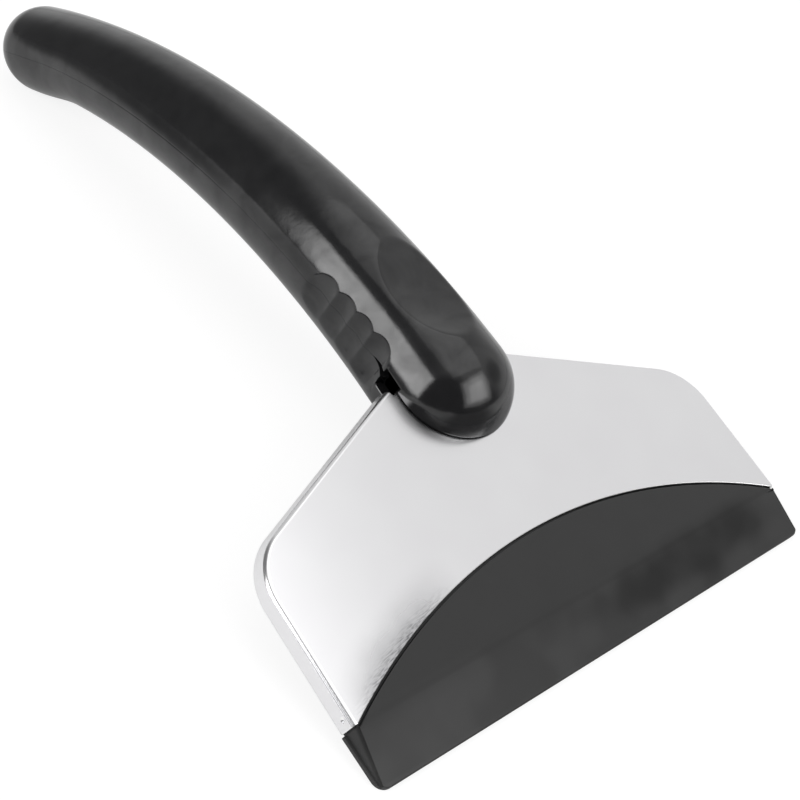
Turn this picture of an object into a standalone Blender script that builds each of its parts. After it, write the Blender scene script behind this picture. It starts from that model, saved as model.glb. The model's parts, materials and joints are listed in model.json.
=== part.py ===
"""Hand ice scraper: a pressed steel head on an arched two-shell handle, with a plastic scraping blade.

Every piece is modelled in the frame of the head plate: X runs along the blade, Y from the scraping
edge towards the handle, and Z up from the flat steel face, which lies at Z = 0. At the end the whole
tool is set down on a table, on its scraping edge and on the tail of its handle.
"""
import bpy
import bmesh
from math import atan2, cos, pi, radians, sin, sqrt, tan
from mathutils import Matrix, Vector

MM = 0.001

# Clearances
CLEARANCE = 0.3 * MM
PARTING_GAP = 0.3 * MM
BLADE_SEAM = 0.4 * MM

# Steel head plate
SHEET = 0.8 * MM
HEAD_FRONT_WIDTH = 134.3 * MM
HEAD_CORNER_WIDTH = 133.7 * MM
HEAD_APEX_Y = 74.5 * MM
REAR_EDGE_ANGLE = radians(23.3)
HEAD_CORNER_RADIUS = 13.0 * MM
RIM_DROP = 3.7 * MM
RIM_DRAFT = radians(12.0)
RIM_TOE_RADIUS = 1.0 * MM
BEND_OFFSET = 1.0 * MM
ARC_RADIUS = 139.8 * MM
ARC_APEX_Y = 28.4 * MM
TONGUE_WIDTH = 18.0 * MM
TONGUE_LENGTH = 6.5 * MM
TONGUE_CORNER = 3.0 * MM
RIM_RELIEF = 1.6 * MM
RIM_END_CLEARANCE = 1.2 * MM
PLATE_HOLE_CLEARANCE = 0.5 * MM

# Crimps that lock the blade between the plate's side rims
CRIMP_SETBACK = 1.9 * MM
CRIMP_HEIGHT = 2.1 * MM
CRIMP_DEPTH = 1.2 * MM
CRIMP_BUMP_RADIUS = 0.9 * MM
CRIMP_DENT_RADIUS = 1.3 * MM
CRIMP_DENT_DEPTH = 0.6 * MM

# Scraper blade
BLADE_THICKNESS = 4.2 * MM
BLADE_EDGE_WIDTH = 135.2 * MM
BLADE_EDGE_LAND = 1.4 * MM
BLADE_END_DRAFT = radians(16.0)
BLADE_LIP_HEIGHT = 1.0 * MM
BLADE_LIP_SPLAY = 1.1 * MM
BLADE_CORNER_RADIUS = 3.0 * MM
BLADE_LEDGE_Y = 40.0 * MM
LEDGE_CORNER_RADIUS = 5.0 * MM

# Handle
NOSE_SETBACK = 9.9 * MM
NOSE_LENGTH = 14.6 * MM
AXIS_DROP = 2.3 * MM
ARCH_RADIUS = 249.0 * MM
ARCH_LENGTH = 157.0 * MM
TAIL_ROUND = 11.5 * MM
NOSE_HALF_HEIGHT = 14.6 * MM
TAIL_HALF_HEIGHT = 10.4 * MM
TAIL_SWELL = 0.7 * MM
SWELL_START = 139.0 * MM
SWELL_LENGTH = 14.0 * MM
OVAL_RATIO = 1.025
WALL = 2.2 * MM
PARTING_RISE = 1.4 * MM
PARTING_RISE_TAIL = -0.2 * MM

# Thumb dish
DISH_DISTANCE = 17.6 * MM
DISH_LENGTH = 28.4 * MM
DISH_WIDTH = 17.0 * MM
DISH_CROSS_RADIUS = 80.0 * MM
DISH_BALL_HEIGHT = 20.0 * MM

# Finger ripples on both sides of the grip
RIPPLES = 4
RIPPLE_PITCH = 6.0 * MM
RIPPLE_SETBACK = 8.8 * MM
RIPPLE_RIDGE_INSET = 1.4 * MM
RIPPLE_DEPTH = 0.6 * MM
RIPPLE_RUNOUT = 2.5 * MM

# Side notches that let the plate's rear edge into the handle
NOTCH_LEAD = 2.0 * MM
NOTCH_LENGTH = 5.5 * MM
NOTCH_RISE = 1.5 * MM
NOTCH_DROP = 3.7 * MM
NOTCH_DEPTH = 4.5 * MM
SLIT_LENGTH = 5.0 * MM

# Screws
COLUMN_RADIUS = 5.0 * MM
SEAT_BELOW_PARTING = 4.5 * MM
CLAMP_SCREW_DISTANCE = (-7.2 * MM, 9.3 * MM)
CLAMP_SHANK_RADIUS = 1.75 * MM
CLAMP_HEAD_RADIUS = 3.3 * MM
CLAMP_SCREW_LENGTH = 12.0 * MM
GRIP_SCREW_DISTANCE = (58.0 * MM, 132.0 * MM)
GRIP_SHANK_RADIUS = 1.5 * MM
GRIP_HEAD_RADIUS = 2.9 * MM
GRIP_SCREW_LENGTH = 10.0 * MM
SCREW_HEAD_HEIGHT = 2.0 * MM
SCREW_HEAD_RIM = 1.1 * MM
SCREW_CROWN_RATIO = 0.7
SCREW_POINT = 1.6 * MM
SCREW_TIP_RADIUS = 0.6 * MM
CROSS_LENGTH = 3.4 * MM
CROSS_WIDTH = 0.8 * MM
CROSS_DEPTH = 1.0 * MM
BORE_TIP_ROOM = 0.6 * MM

# Facets
OUTER_FACETS = (12, 8, 24)
CAVITY_FACETS = (6, 4, 12)
PARTING_STEPS = 24
ROUND_SIDES = 24
SCREW_SIDES = 20
CORNER_STEPS = 6
ARC_STEPS = 20
RIPPLE_STEPS = 6
BEND_STEPS = 3
DISH_FACETS = (40, 36)
POLE_ANGLE = radians(84.0)
SMOOTH_ANGLE = radians(35.0)

# A length that is certain to pass right through the tool, for cutters
BEYOND = 60.0 * MM
MERGE = 0.01 * MM


def clear_scene():
    for item in list(bpy.data.objects):
        bpy.data.objects.remove(item, do_unlink=True)


def make_collection(name):
    collection = bpy.data.collections.new(name)
    bpy.context.scene.collection.children.link(collection)
    return collection


def make_material(name, colour, roughness, metallic):
    material = bpy.data.materials.new(name)
    material.use_nodes = True
    shader = material.node_tree.nodes["Principled BSDF"]
    shader.inputs["Base Color"].default_value = (*colour, 1.0)
    shader.inputs["Roughness"].default_value = roughness
    shader.inputs["Metallic"].default_value = metallic
    return material


clear_scene()
PARTS = make_collection("ice_scraper")
CUTTERS = make_collection("cutters")


def add_part(name, mesh, material):
    item = bpy.data.objects.new(name, mesh)
    mesh.materials.clear()
    mesh.materials.append(material)
    PARTS.objects.link(item)
    return item


def add_cutter(name, mesh):
    item = bpy.data.objects.new(name, mesh)
    CUTTERS.objects.link(item)
    item.hide_render = True
    item.display_type = "WIRE"
    return item


def boolean(item, operation, other):
    modifier = item.modifiers.new(other.name, "BOOLEAN")
    modifier.operation = operation
    modifier.object = other


def mesh_from_bmesh(name, shape):
    mesh = bpy.data.meshes.new(name)
    shape.to_mesh(mesh)
    shape.free()
    return mesh


def evaluated_mesh(item):
    """The mesh that an object shows, with its modifiers, in the object's own frame."""
    depsgraph = bpy.context.evaluated_depsgraph_get()
    return bpy.data.meshes.new_from_object(item.evaluated_get(depsgraph))


def mesh_from_curve(name, curve):
    """A curve with filled caps as one closed mesh."""
    carrier = bpy.data.objects.new(name, curve)
    CUTTERS.objects.link(carrier)
    mesh = evaluated_mesh(carrier)
    bpy.data.objects.remove(carrier)
    shape = bmesh.new()
    shape.from_mesh(mesh)
    bmesh.ops.remove_doubles(shape, verts=shape.verts, dist=MERGE)
    bmesh.ops.recalc_face_normals(shape, faces=shape.faces)
    bpy.data.meshes.remove(mesh)
    return mesh_from_bmesh(name, shape)


def outline_mesh(name, points, low, high):
    """A flat X-Y outline with thickness, from the height low to the height high."""
    curve = bpy.data.curves.new(name, "CURVE")
    curve.dimensions = "2D"
    curve.fill_mode = "BOTH"
    curve.extrude = (high - low) / 2
    spline = curve.splines.new("POLY")
    spline.points.add(len(points) - 1)
    for point, (x, y) in zip(spline.points, points):
        point.co = (x, y, 0, 1)
    spline.use_cyclic_u = True
    mesh = mesh_from_curve(name, curve)
    mesh.transform(Matrix.Translation((0, 0, (low + high) / 2)))
    return mesh


def side_outline_mesh(name, points, half_width):
    """A Y-Z outline, extruded along X to both sides."""
    mesh = outline_mesh(name, points, -half_width, half_width)
    mesh.transform(Matrix(((0, 0, 1, 0), (1, 0, 0, 0), (0, 1, 0, 0), (0, 0, 0, 1))))
    return mesh


def box_mesh(name, low, high):
    shape = bmesh.new()
    bmesh.ops.create_cube(shape, size=1.0)
    size = Vector(high) - Vector(low)
    centre = (Vector(high) + Vector(low)) / 2
    bmesh.ops.scale(shape, vec=size, verts=shape.verts)
    bmesh.ops.translate(shape, vec=centre, verts=shape.verts)
    return mesh_from_bmesh(name, shape)


def cylinder_mesh(name, radius, low, high, place):
    """An upright cylinder between two heights, carried to its place by a matrix."""
    shape = bmesh.new()
    bmesh.ops.create_cone(shape, cap_ends=True, segments=ROUND_SIDES, radius1=radius,
                          radius2=radius, depth=high - low)
    bmesh.ops.translate(shape, vec=(0, 0, (low + high) / 2), verts=shape.verts)
    bmesh.ops.transform(shape, matrix=place, verts=shape.verts)
    return mesh_from_bmesh(name, shape)


def arc_points(centre, radius, start, end, steps):
    return [(centre[0] + radius * cos(start + (end - start) * step / steps),
             centre[1] + radius * sin(start + (end - start) * step / steps))
            for step in range(steps + 1)]


def smooth(mesh):
    mesh.shade_smooth()
    mesh.set_sharp_from_angle(angle=SMOOTH_ANGLE)


# Head plate outline

def side_x(y):
    """Half width of the plate at the virtual sharp edge of its side bend."""
    taper = (HEAD_FRONT_WIDTH - HEAD_CORNER_WIDTH) / 2
    corner_y = HEAD_APEX_Y - HEAD_CORNER_WIDTH / 2 * tan(REAR_EDGE_ANGLE)
    return HEAD_FRONT_WIDTH / 2 - taper * y / corner_y


def rear_y(x):
    """Y of the virtual sharp edge of the rear bend, at a distance x from the middle."""
    return HEAD_APEX_Y - x * tan(REAR_EDGE_ANGLE)


def arc_y(x, radius):
    return ARC_APEX_Y - ARC_RADIUS + sqrt(radius ** 2 - x ** 2)


RIM_FRONT_Y = arc_y(side_x(0) - BEND_OFFSET, ARC_RADIUS)
NOSE_CENTRE_Y = HEAD_APEX_Y - NOSE_SETBACK
RIPPLE_FRONT_Y = NOSE_CENTRE_Y + RIPPLE_SETBACK
HANDLE_HALF_WIDTH = NOSE_HALF_HEIGHT * OVAL_RATIO
RIM_END_X = HANDLE_HALF_WIDTH + RIM_END_CLEARANCE


def corner_arc():
    """The rounded rear corner of the plate on the +X side, from the side edge to the rear edge."""
    side_turn = atan2(side_x(0) - side_x(BEYOND), BEYOND)
    start = side_turn
    end = pi / 2 - REAR_EDGE_ANGLE
    corner_x = HEAD_CORNER_WIDTH / 2
    corner = Vector((corner_x, rear_y(corner_x)))
    half_turn = (end - start) / 2
    inward = Vector((cos(start + half_turn), sin(start + half_turn)))
    centre = corner - inward * HEAD_CORNER_RADIUS / cos(half_turn)
    return arc_points(centre, HEAD_CORNER_RADIUS, start, end, CORNER_STEPS)


def half_plate_outline():
    """Right half of the plate's face, from the middle of the arc round to the end of the tongue.

    Returns the points and the range of those that carry the down-turned rim.
    """
    front_x = side_x(RIM_FRONT_Y)
    reach = [front_x * step / ARC_STEPS for step in range(ARC_STEPS)]
    front = [(x, arc_y(x, ARC_RADIUS)) for x in reach]
    rim = [(front_x, RIM_FRONT_Y)]
    rim += corner_arc()
    rim += [(RIM_END_X, rear_y(RIM_END_X))]
    inward = Vector((-sin(REAR_EDGE_ANGLE), -cos(REAR_EDGE_ANGLE))) * RIM_RELIEF
    relief = (RIM_END_X + inward.x, rear_y(RIM_END_X) + inward.y)
    root_x = TONGUE_WIDTH / 2
    root_y = relief[1] + (relief[0] - root_x) * tan(REAR_EDGE_ANGLE)
    end_y = HEAD_APEX_Y + TONGUE_LENGTH
    corner_centre = (root_x - TONGUE_CORNER, end_y - TONGUE_CORNER)
    tongue = [relief, (root_x, root_y)]
    tongue += arc_points(corner_centre, TONGUE_CORNER, 0, pi / 2, CORNER_STEPS)
    tongue += [(0, end_y)]
    return front + rim + tongue, range(len(front), len(front) + len(rim))


def plate_surface():
    """The plate's outer face as an open surface: flat top, bend and drafted rim."""
    points, rim_range = half_plate_outline()
    shape = bmesh.new()
    top = [shape.verts.new((x, y, 0)) for x, y in points]
    shape.faces.new(top)
    bmesh.ops.recalc_face_normals(shape, faces=shape.faces)
    if shape.faces[:][0].normal.z < 0:
        bmesh.ops.reverse_faces(shape, faces=shape.faces)
    shape.edges.ensure_lookup_table()
    rim_verts = [top[index] for index in rim_range]
    bends = [edge for edge in shape.edges
             if edge.verts[0] in rim_verts and edge.verts[1] in rim_verts]
    made = bmesh.ops.extrude_edge_only(shape, edges=bends)["geom"]
    lower = [item for item in made if isinstance(item, bmesh.types.BMVert)]
    spread = RIM_DROP * tan(RIM_DRAFT)
    middle = Vector((0, NOSE_CENTRE_Y / 2, 0))
    outward = {}
    for vert in rim_verts:
        along = [edge.verts[1].co - edge.verts[0].co for edge in bends if vert in edge.verts]
        normals = [line.cross(Vector((0, 0, 1))).normalized() for line in along]
        normals = [normal if normal.dot(vert.co - middle) > 0 else -normal for normal in normals]
        mean = sum(normals, Vector()).normalized()
        outward[vert] = mean / mean.dot(normals[0])
    for vert in lower:
        upper = min(rim_verts, key=lambda other: (other.co - vert.co).length)
        vert.co = vert.co + outward[upper] * spread - Vector((0, 0, RIM_DROP))
    toe = min(lower, key=lambda vert: vert.co.y)
    bmesh.ops.bevel(shape, geom=[toe], offset=RIM_TOE_RADIUS, segments=BEND_STEPS, profile=0.5,
                    affect="VERTICES", material=-1)
    bends = [edge for edge in bends if edge.is_valid]
    bmesh.ops.bevel(shape, geom=bends, offset=BEND_OFFSET, segments=BEND_STEPS, profile=0.5,
                    affect="EDGES", material=-1)
    return mesh_from_bmesh("head_plate", shape)


def upright(distance):
    """A place on the handle's axis: its own Z is square to the axis and its own Y runs along it."""
    turn = max(distance, 0) / ARCH_RADIUS
    y = NOSE_CENTRE_Y + ARCH_RADIUS * sin(turn) + min(distance, 0)
    z = -AXIS_DROP - ARCH_RADIUS * (1 - cos(turn))
    return Matrix.Translation((0, y, z)) @ Matrix.Rotation(-turn, 4, "X")


def half_height(distance):
    """Half height of the handle's oval section; its half width is this times OVAL_RATIO."""
    share = min(max(distance / ARCH_LENGTH, 0), 1)
    return NOSE_HALF_HEIGHT + (TAIL_HALF_HEIGHT - NOSE_HALF_HEIGHT) * share


def swell(distance):
    """How much fuller the underside and the sides grow towards the tail, where the hand stops."""
    share = min(max((distance - SWELL_START) / SWELL_LENGTH, 0), 1)
    return TAIL_SWELL * share * share * (3 - 2 * share)


def parting_rise(distance):
    """Height of the line where the two shells meet, above the handle's axis."""
    share = min(max(distance / ARCH_LENGTH, 0), 1)
    return PARTING_RISE + (PARTING_RISE_TAIL - PARTING_RISE) * share


def handle_tube(name, inset, facets):
    """The handle's outer form with its round ends, made smaller all round by the inset.

    The facets are the bevel resolution, the steps of each round end and the steps along the body.
    """
    resolution, dome_steps, body_steps = facets
    stations = []
    for step in range(dome_steps):
        angle = POLE_ANGLE * (1 - step / dome_steps)
        stations.append((-(NOSE_LENGTH - inset) * sin(angle), (half_height(0) - inset) * cos(angle)))
    for step in range(body_steps + 1):
        distance = ARCH_LENGTH * step / body_steps
        stations.append((distance, half_height(distance) + swell(distance) - inset))
    for step in range(1, dome_steps + 1):
        angle = POLE_ANGLE * step / dome_steps
        stations.append((ARCH_LENGTH + (TAIL_ROUND - inset) * sin(angle),
                         (half_height(ARCH_LENGTH) + TAIL_SWELL - inset) * cos(angle)))
    curve = bpy.data.curves.new(name, "CURVE")
    curve.dimensions = "3D"
    curve.bevel_depth = 1.0
    curve.bevel_resolution = resolution
    curve.use_fill_caps = True
    spline = curve.splines.new("POLY")
    spline.points.add(len(stations) - 1)
    for point, (distance, radius) in zip(spline.points, stations):
        point.co = (*(upright(distance) @ Vector((0, 0, -swell(distance)))), 1)
        point.radius = radius
    mesh = mesh_from_curve(name, curve)
    mesh.transform(Matrix.Diagonal((OVAL_RATIO, 1, 1, 1)))
    return mesh


def dish_ball(name, extra):
    """Ball whose lowest part hollows the thumb dish out; extra moves it down to leave a wall."""
    height = half_height(DISH_DISTANCE)
    section_radius = OVAL_RATIO ** 2 * height
    depth = (DISH_WIDTH / 2) ** 2 / 2 * (1 / DISH_CROSS_RADIUS + 1 / section_radius)
    length_radius = 1 / (2 * depth / (DISH_LENGTH / 2) ** 2 - 1 / ARCH_RADIUS)
    size = (sqrt(DISH_CROSS_RADIUS * DISH_BALL_HEIGHT), sqrt(length_radius * DISH_BALL_HEIGHT),
            DISH_BALL_HEIGHT)
    shape = bmesh.new()
    around, down = DISH_FACETS
    bmesh.ops.create_uvsphere(shape, u_segments=around, v_segments=down, radius=1.0)
    bmesh.ops.scale(shape, vec=size, verts=shape.verts)
    lift = height - depth + DISH_BALL_HEIGHT - extra
    bmesh.ops.translate(shape, vec=(0, 0, lift), verts=shape.verts)
    bmesh.ops.transform(shape, matrix=upright(DISH_DISTANCE), verts=shape.verts)
    return mesh_from_bmesh(name, shape)


RIDGE_X = half_height(RIPPLE_FRONT_Y - NOSE_CENTRE_Y) * OVAL_RATIO - RIPPLE_RIDGE_INSET
RIPPLE_REAR_Y = RIPPLE_FRONT_Y + RIPPLES * RIPPLE_PITCH


def ripple_outline():
    """Plan of what the finger ripples take away from the +X side of the handle."""
    clear_x = HANDLE_HALF_WIDTH + CLEARANCE
    chord = RIPPLE_PITCH / 2
    radius = (chord ** 2 + RIPPLE_DEPTH ** 2) / (2 * RIPPLE_DEPTH)
    half_angle = atan2(chord, radius - RIPPLE_DEPTH)
    points = [(clear_x, RIPPLE_FRONT_Y - RIPPLE_RUNOUT)]
    for ripple in range(RIPPLES):
        middle = (RIDGE_X - RIPPLE_DEPTH + radius, RIPPLE_FRONT_Y + (ripple + 0.5) * RIPPLE_PITCH)
        points += arc_points(middle, radius, pi + half_angle, pi - half_angle, RIPPLE_STEPS)[:-1]
    points += [(RIDGE_X, RIPPLE_REAR_Y), (clear_x, RIPPLE_REAR_Y + RIPPLE_RUNOUT)]
    points += [(clear_x + RIPPLE_PITCH, RIPPLE_REAR_Y + RIPPLE_RUNOUT),
               (clear_x + RIPPLE_PITCH, RIPPLE_FRONT_Y - RIPPLE_RUNOUT)]
    return points


def mirrored(points):
    return [(-x, y) for x, y in reversed(points)]


NOTCH_FRONT_Y = rear_y(HANDLE_HALF_WIDTH) - NOTCH_LEAD
NOTCH_REAR_Y = NOTCH_FRONT_Y + NOTCH_LENGTH
SLIT_REAR_DISTANCE = NOTCH_REAR_Y + SLIT_LENGTH - NOSE_CENTRE_Y


def half_space(name, side):
    """Everything above (side +1) or below (side -1) the joint between the two shells.

    Over the plate the joint follows the steel; behind it, it closes along a slit on to the parting line.
    """
    seat = CLEARANCE if side > 0 else -SHEET - CLEARANCE
    front_y = NOSE_CENTRE_Y - NOSE_LENGTH - BEYOND
    points = [(front_y, seat), (NOTCH_REAR_Y, seat)]
    reach = ARCH_LENGTH + TAIL_ROUND - SLIT_REAR_DISTANCE
    for step in range(PARTING_STEPS + 1):
        distance = SLIT_REAR_DISTANCE + reach * step / PARTING_STEPS
        offset = Vector((0, 0, parting_rise(distance) + side * PARTING_GAP / 2))
        place = upright(distance) @ offset
        points.append((place.y, place.z))
    tail = upright(ARCH_LENGTH + TAIL_ROUND) @ Vector((0, BEYOND, parting_rise(ARCH_LENGTH)))
    points.append((tail.y, tail.z))
    limit = BEYOND if side > 0 else tail.z - BEYOND
    points += [(tail.y, limit), (front_y, limit)]
    return side_outline_mesh(name, points, BEYOND)


def screw_places():
    """Place on the axis, shank radius, head radius and length of each screw."""
    clamp = [(upright(distance), CLAMP_SHANK_RADIUS, CLAMP_HEAD_RADIUS, CLAMP_SCREW_LENGTH, distance)
             for distance in CLAMP_SCREW_DISTANCE]
    grip = [(upright(distance), GRIP_SHANK_RADIUS, GRIP_HEAD_RADIUS, GRIP_SCREW_LENGTH, distance)
            for distance in GRIP_SCREW_DISTANCE]
    return clamp, grip


def seat_height(distance):
    """Height above the axis at which a screw's head bears on the lower shell."""
    return parting_rise(distance) - SEAT_BELOW_PARTING


def make_cavity(side_name):
    """The hollow inside the handle, less the screw columns and the walls round dish and ripples."""
    cavity = add_cutter(f"{side_name}_cavity", handle_tube("cavity", WALL, CAVITY_FACETS))
    clamp, grip = screw_places()
    for number, (place, *_) in enumerate(clamp + grip):
        mesh = cylinder_mesh("column", COLUMN_RADIUS, -BEYOND, BEYOND, place)
        boolean(cavity, "DIFFERENCE", add_cutter(f"{side_name}_column_{number}", mesh))
    boolean(cavity, "DIFFERENCE", add_cutter(f"{side_name}_dish_wall", dish_ball("dish_wall", WALL)))
    wall_x = RIDGE_X - RIPPLE_DEPTH - WALL
    front_y = RIPPLE_FRONT_Y - RIPPLE_RUNOUT - WALL
    rear_end_y = RIPPLE_REAR_Y + RIPPLE_RUNOUT + WALL
    for side in (-1, 1):
        xs = sorted((side * wall_x, side * BEYOND))
        mesh = box_mesh("ripple_wall", (xs[0], front_y, -BEYOND), (xs[1], rear_end_y, BEYOND))
        boolean(cavity, "DIFFERENCE", add_cutter(f"{side_name}_ripple_wall_{side}", mesh))
    return cavity


def make_shell(name, side, material):
    """One half of the handle, with everything that is cut out of both halves."""
    shell = add_part(name, handle_tube(name, 0, OUTER_FACETS), material)
    boolean(shell, "INTERSECT", add_cutter(f"{name}_half", half_space("half", side)))
    boolean(shell, "DIFFERENCE", make_cavity(name))
    for hand in (-1, 1):
        outline = ripple_outline() if hand > 0 else mirrored(ripple_outline())
        ripples = add_cutter(f"{name}_ripples_{hand}", outline_mesh("ripples", outline, -BEYOND, BEYOND))
        boolean(shell, "DIFFERENCE", ripples)
        xs = sorted((hand * (HANDLE_HALF_WIDTH - NOTCH_DEPTH), hand * BEYOND))
        mesh = box_mesh("notch", (xs[0], NOTCH_FRONT_Y, -NOTCH_DROP), (xs[1], NOTCH_REAR_Y, NOTCH_RISE))
        boolean(shell, "DIFFERENCE", add_cutter(f"{name}_notch_{hand}", mesh))
    return shell


def cut_tongue_slot(shell):
    half = TONGUE_WIDTH / 2 + CLEARANCE
    end_y = HEAD_APEX_Y + TONGUE_LENGTH + CLEARANCE
    low = (-half, NOSE_CENTRE_Y, -BEYOND)
    boolean(shell, "DIFFERENCE", add_cutter("tongue_slot", box_mesh("slot", low, (half, end_y, CLEARANCE))))


def make_upper_shell(material):
    shell = make_shell("handle_upper_shell", 1, material)
    boolean(shell, "DIFFERENCE", add_cutter("dish", dish_ball("dish", 0)))
    cut_tongue_slot(shell)
    clamp, grip = screw_places()
    for number, (place, shank, _, length, distance) in enumerate(clamp + grip):
        tip = seat_height(distance) + length + BORE_TIP_ROOM
        mesh = cylinder_mesh("bore", shank + CLEARANCE, seat_height(distance), tip, place)
        boolean(shell, "DIFFERENCE", add_cutter(f"screw_bore_{number}", mesh))
    return shell


def make_lower_shell(material):
    shell = make_shell("handle_lower_shell", -1, material)
    clamp, grip = screw_places()
    for number, (place, shank, head, _, distance) in enumerate(clamp + grip):
        seat = seat_height(distance) - CLEARANCE
        mesh = cylinder_mesh("hole", shank + CLEARANCE, seat - SHEET, BEYOND, place)
        boolean(shell, "DIFFERENCE", add_cutter(f"screw_hole_{number}", mesh))
        mesh = cylinder_mesh("counterbore", head + CLEARANCE, -BEYOND, seat, place)
        boolean(shell, "DIFFERENCE", add_cutter(f"counterbore_{number}", mesh))
    return shell


def crimp_place(side):
    """Centre of a crimp on the outer face of the side rim, with local Z pointing outwards."""
    y = RIM_FRONT_Y + CRIMP_SETBACK
    x = side_x(y) + CRIMP_HEIGHT * tan(RIM_DRAFT)
    turn = Matrix.Rotation(side * (pi / 2 - RIM_DRAFT), 4, "Y")
    return Matrix.Translation((side * x, y, -CRIMP_HEIGHT)) @ turn


def press_crimp(plate, side):
    """A round dent in the side rim, and the bump it raises on the inside, which holds the blade."""
    low = -SHEET - CRIMP_DEPTH
    bump = cylinder_mesh("bump", CRIMP_BUMP_RADIUS, low, -SHEET / 2, crimp_place(side))
    boolean(plate, "UNION", add_cutter(f"crimp_bump_{side}", bump))
    dent = bmesh.new()
    bmesh.ops.create_uvsphere(dent, u_segments=ROUND_SIDES, v_segments=ROUND_SIDES,
                              radius=CRIMP_DENT_RADIUS)
    lift = Matrix.Translation((0, 0, CRIMP_DENT_RADIUS - CRIMP_DENT_DEPTH))
    bmesh.ops.transform(dent, matrix=crimp_place(side) @ lift, verts=dent.verts)
    boolean(plate, "DIFFERENCE", add_cutter(f"crimp_dent_{side}", mesh_from_bmesh("dent", dent)))


def make_head_plate(material):
    plate = add_part("head_plate", plate_surface(), material)
    mirror = plate.modifiers.new("mirror", "MIRROR")
    mirror.merge_threshold = MERGE
    wall = plate.modifiers.new("sheet", "SOLIDIFY")
    wall.thickness = SHEET
    wall.offset = -1
    wall.use_even_offset = True
    for side in (-1, 1):
        press_crimp(plate, side)
    clamp, _ = screw_places()
    for number, (place, shank, *_) in enumerate(clamp):
        hole_place = Matrix.Translation((0, place.translation.y, 0))
        mesh = cylinder_mesh("hole", shank + PLATE_HOLE_CLEARANCE, -BEYOND, BEYOND, hole_place)
        boolean(plate, "DIFFERENCE", add_cutter(f"plate_hole_{number}", mesh))
    return plate


def blade_plan():
    """Right half of the blade's plan: its end splays towards the rear, and its front corner is round."""
    half = BLADE_EDGE_WIDTH / 2
    lip_y = RIM_FRONT_Y - BLADE_SEAM
    turn = atan2(BLADE_LIP_SPLAY, lip_y)
    centre = (half - BLADE_CORNER_RADIUS * tan(pi / 4 - turn / 2), BLADE_CORNER_RADIUS)
    corner = arc_points(centre, BLADE_CORNER_RADIUS, -pi / 2, -turn, CORNER_STEPS)
    return corner + [(half + BLADE_LIP_SPLAY, lip_y)]


def make_blade(material):
    """The blade moulding: wedge with drafted ends, bottom lip, pad in the arc and ledge under the steel."""
    lip_y = RIM_FRONT_Y - BLADE_SEAM
    top_half = side_x(0) - BEND_OFFSET
    foot_half = top_half + BLADE_THICKNESS * tan(BLADE_END_DRAFT)
    wedge = outline_mesh("scraper_blade",
                         [(-foot_half, -BLADE_THICKNESS), (foot_half, -BLADE_THICKNESS),
                          (top_half, 0), (-top_half, 0)], -lip_y, 0)
    wedge.transform(Matrix.Rotation(pi / 2, 4, "X"))
    blade = add_part("scraper_blade", wedge, material)

    right = blade_plan()
    plan = right + mirrored(right)
    lip = outline_mesh("lip", plan, -BLADE_THICKNESS, BLADE_LIP_HEIGHT - BLADE_THICKNESS)
    boolean(blade, "UNION", add_cutter("blade_lip", lip))
    rounded = right[:-1] + [(right[-1][0], lip_y + CLEARANCE)]
    bound = outline_mesh("bound", rounded + mirrored(rounded), -BEYOND, BEYOND)
    boolean(blade, "INTERSECT", add_cutter("blade_bound", bound))

    pad_radius = ARC_RADIUS - BLADE_SEAM
    start = atan2(arc_y(top_half, pad_radius) - ARC_APEX_Y + ARC_RADIUS, top_half)
    centre = (0, ARC_APEX_Y - ARC_RADIUS)
    pad = [(-top_half, lip_y / 2), (top_half, lip_y / 2)]
    pad += arc_points(centre, pad_radius, start, pi - start, 2 * ARC_STEPS)
    boolean(blade, "UNION", add_cutter("blade_pad", outline_mesh("pad", pad, -BLADE_THICKNESS, 0)))

    ledge_half = side_x(BLADE_LEDGE_Y) - BEND_OFFSET - CLEARANCE
    radius = LEDGE_CORNER_RADIUS
    ledge = [(ledge_half, lip_y / 2)]
    ledge += arc_points((ledge_half - radius, BLADE_LEDGE_Y - radius), radius, 0, pi / 2, CORNER_STEPS)
    ledge_top = -SHEET - CLEARANCE
    mesh = outline_mesh("ledge", ledge + mirrored(ledge), -BLADE_THICKNESS, ledge_top)
    boolean(blade, "UNION", add_cutter("blade_ledge", mesh))

    bevel_drop = BLADE_THICKNESS - BLADE_EDGE_LAND
    above = [(-CLEARANCE, -bevel_drop - CLEARANCE * bevel_drop / RIM_FRONT_Y), (RIM_FRONT_Y, 0),
             (RIM_FRONT_Y, BEYOND), (-CLEARANCE, BEYOND)]
    boolean(blade, "DIFFERENCE", add_cutter("blade_bevel", side_outline_mesh("bevel", above, 2 * BEYOND)))
    for side in (-1, 1):
        low = -SHEET - CRIMP_DEPTH - CLEARANCE
        pocket = cylinder_mesh("pocket", CRIMP_BUMP_RADIUS + CLEARANCE, low, BEYOND / 2, crimp_place(side))
        boolean(blade, "DIFFERENCE", add_cutter(f"crimp_pocket_{side}", pocket))
    return blade


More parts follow.
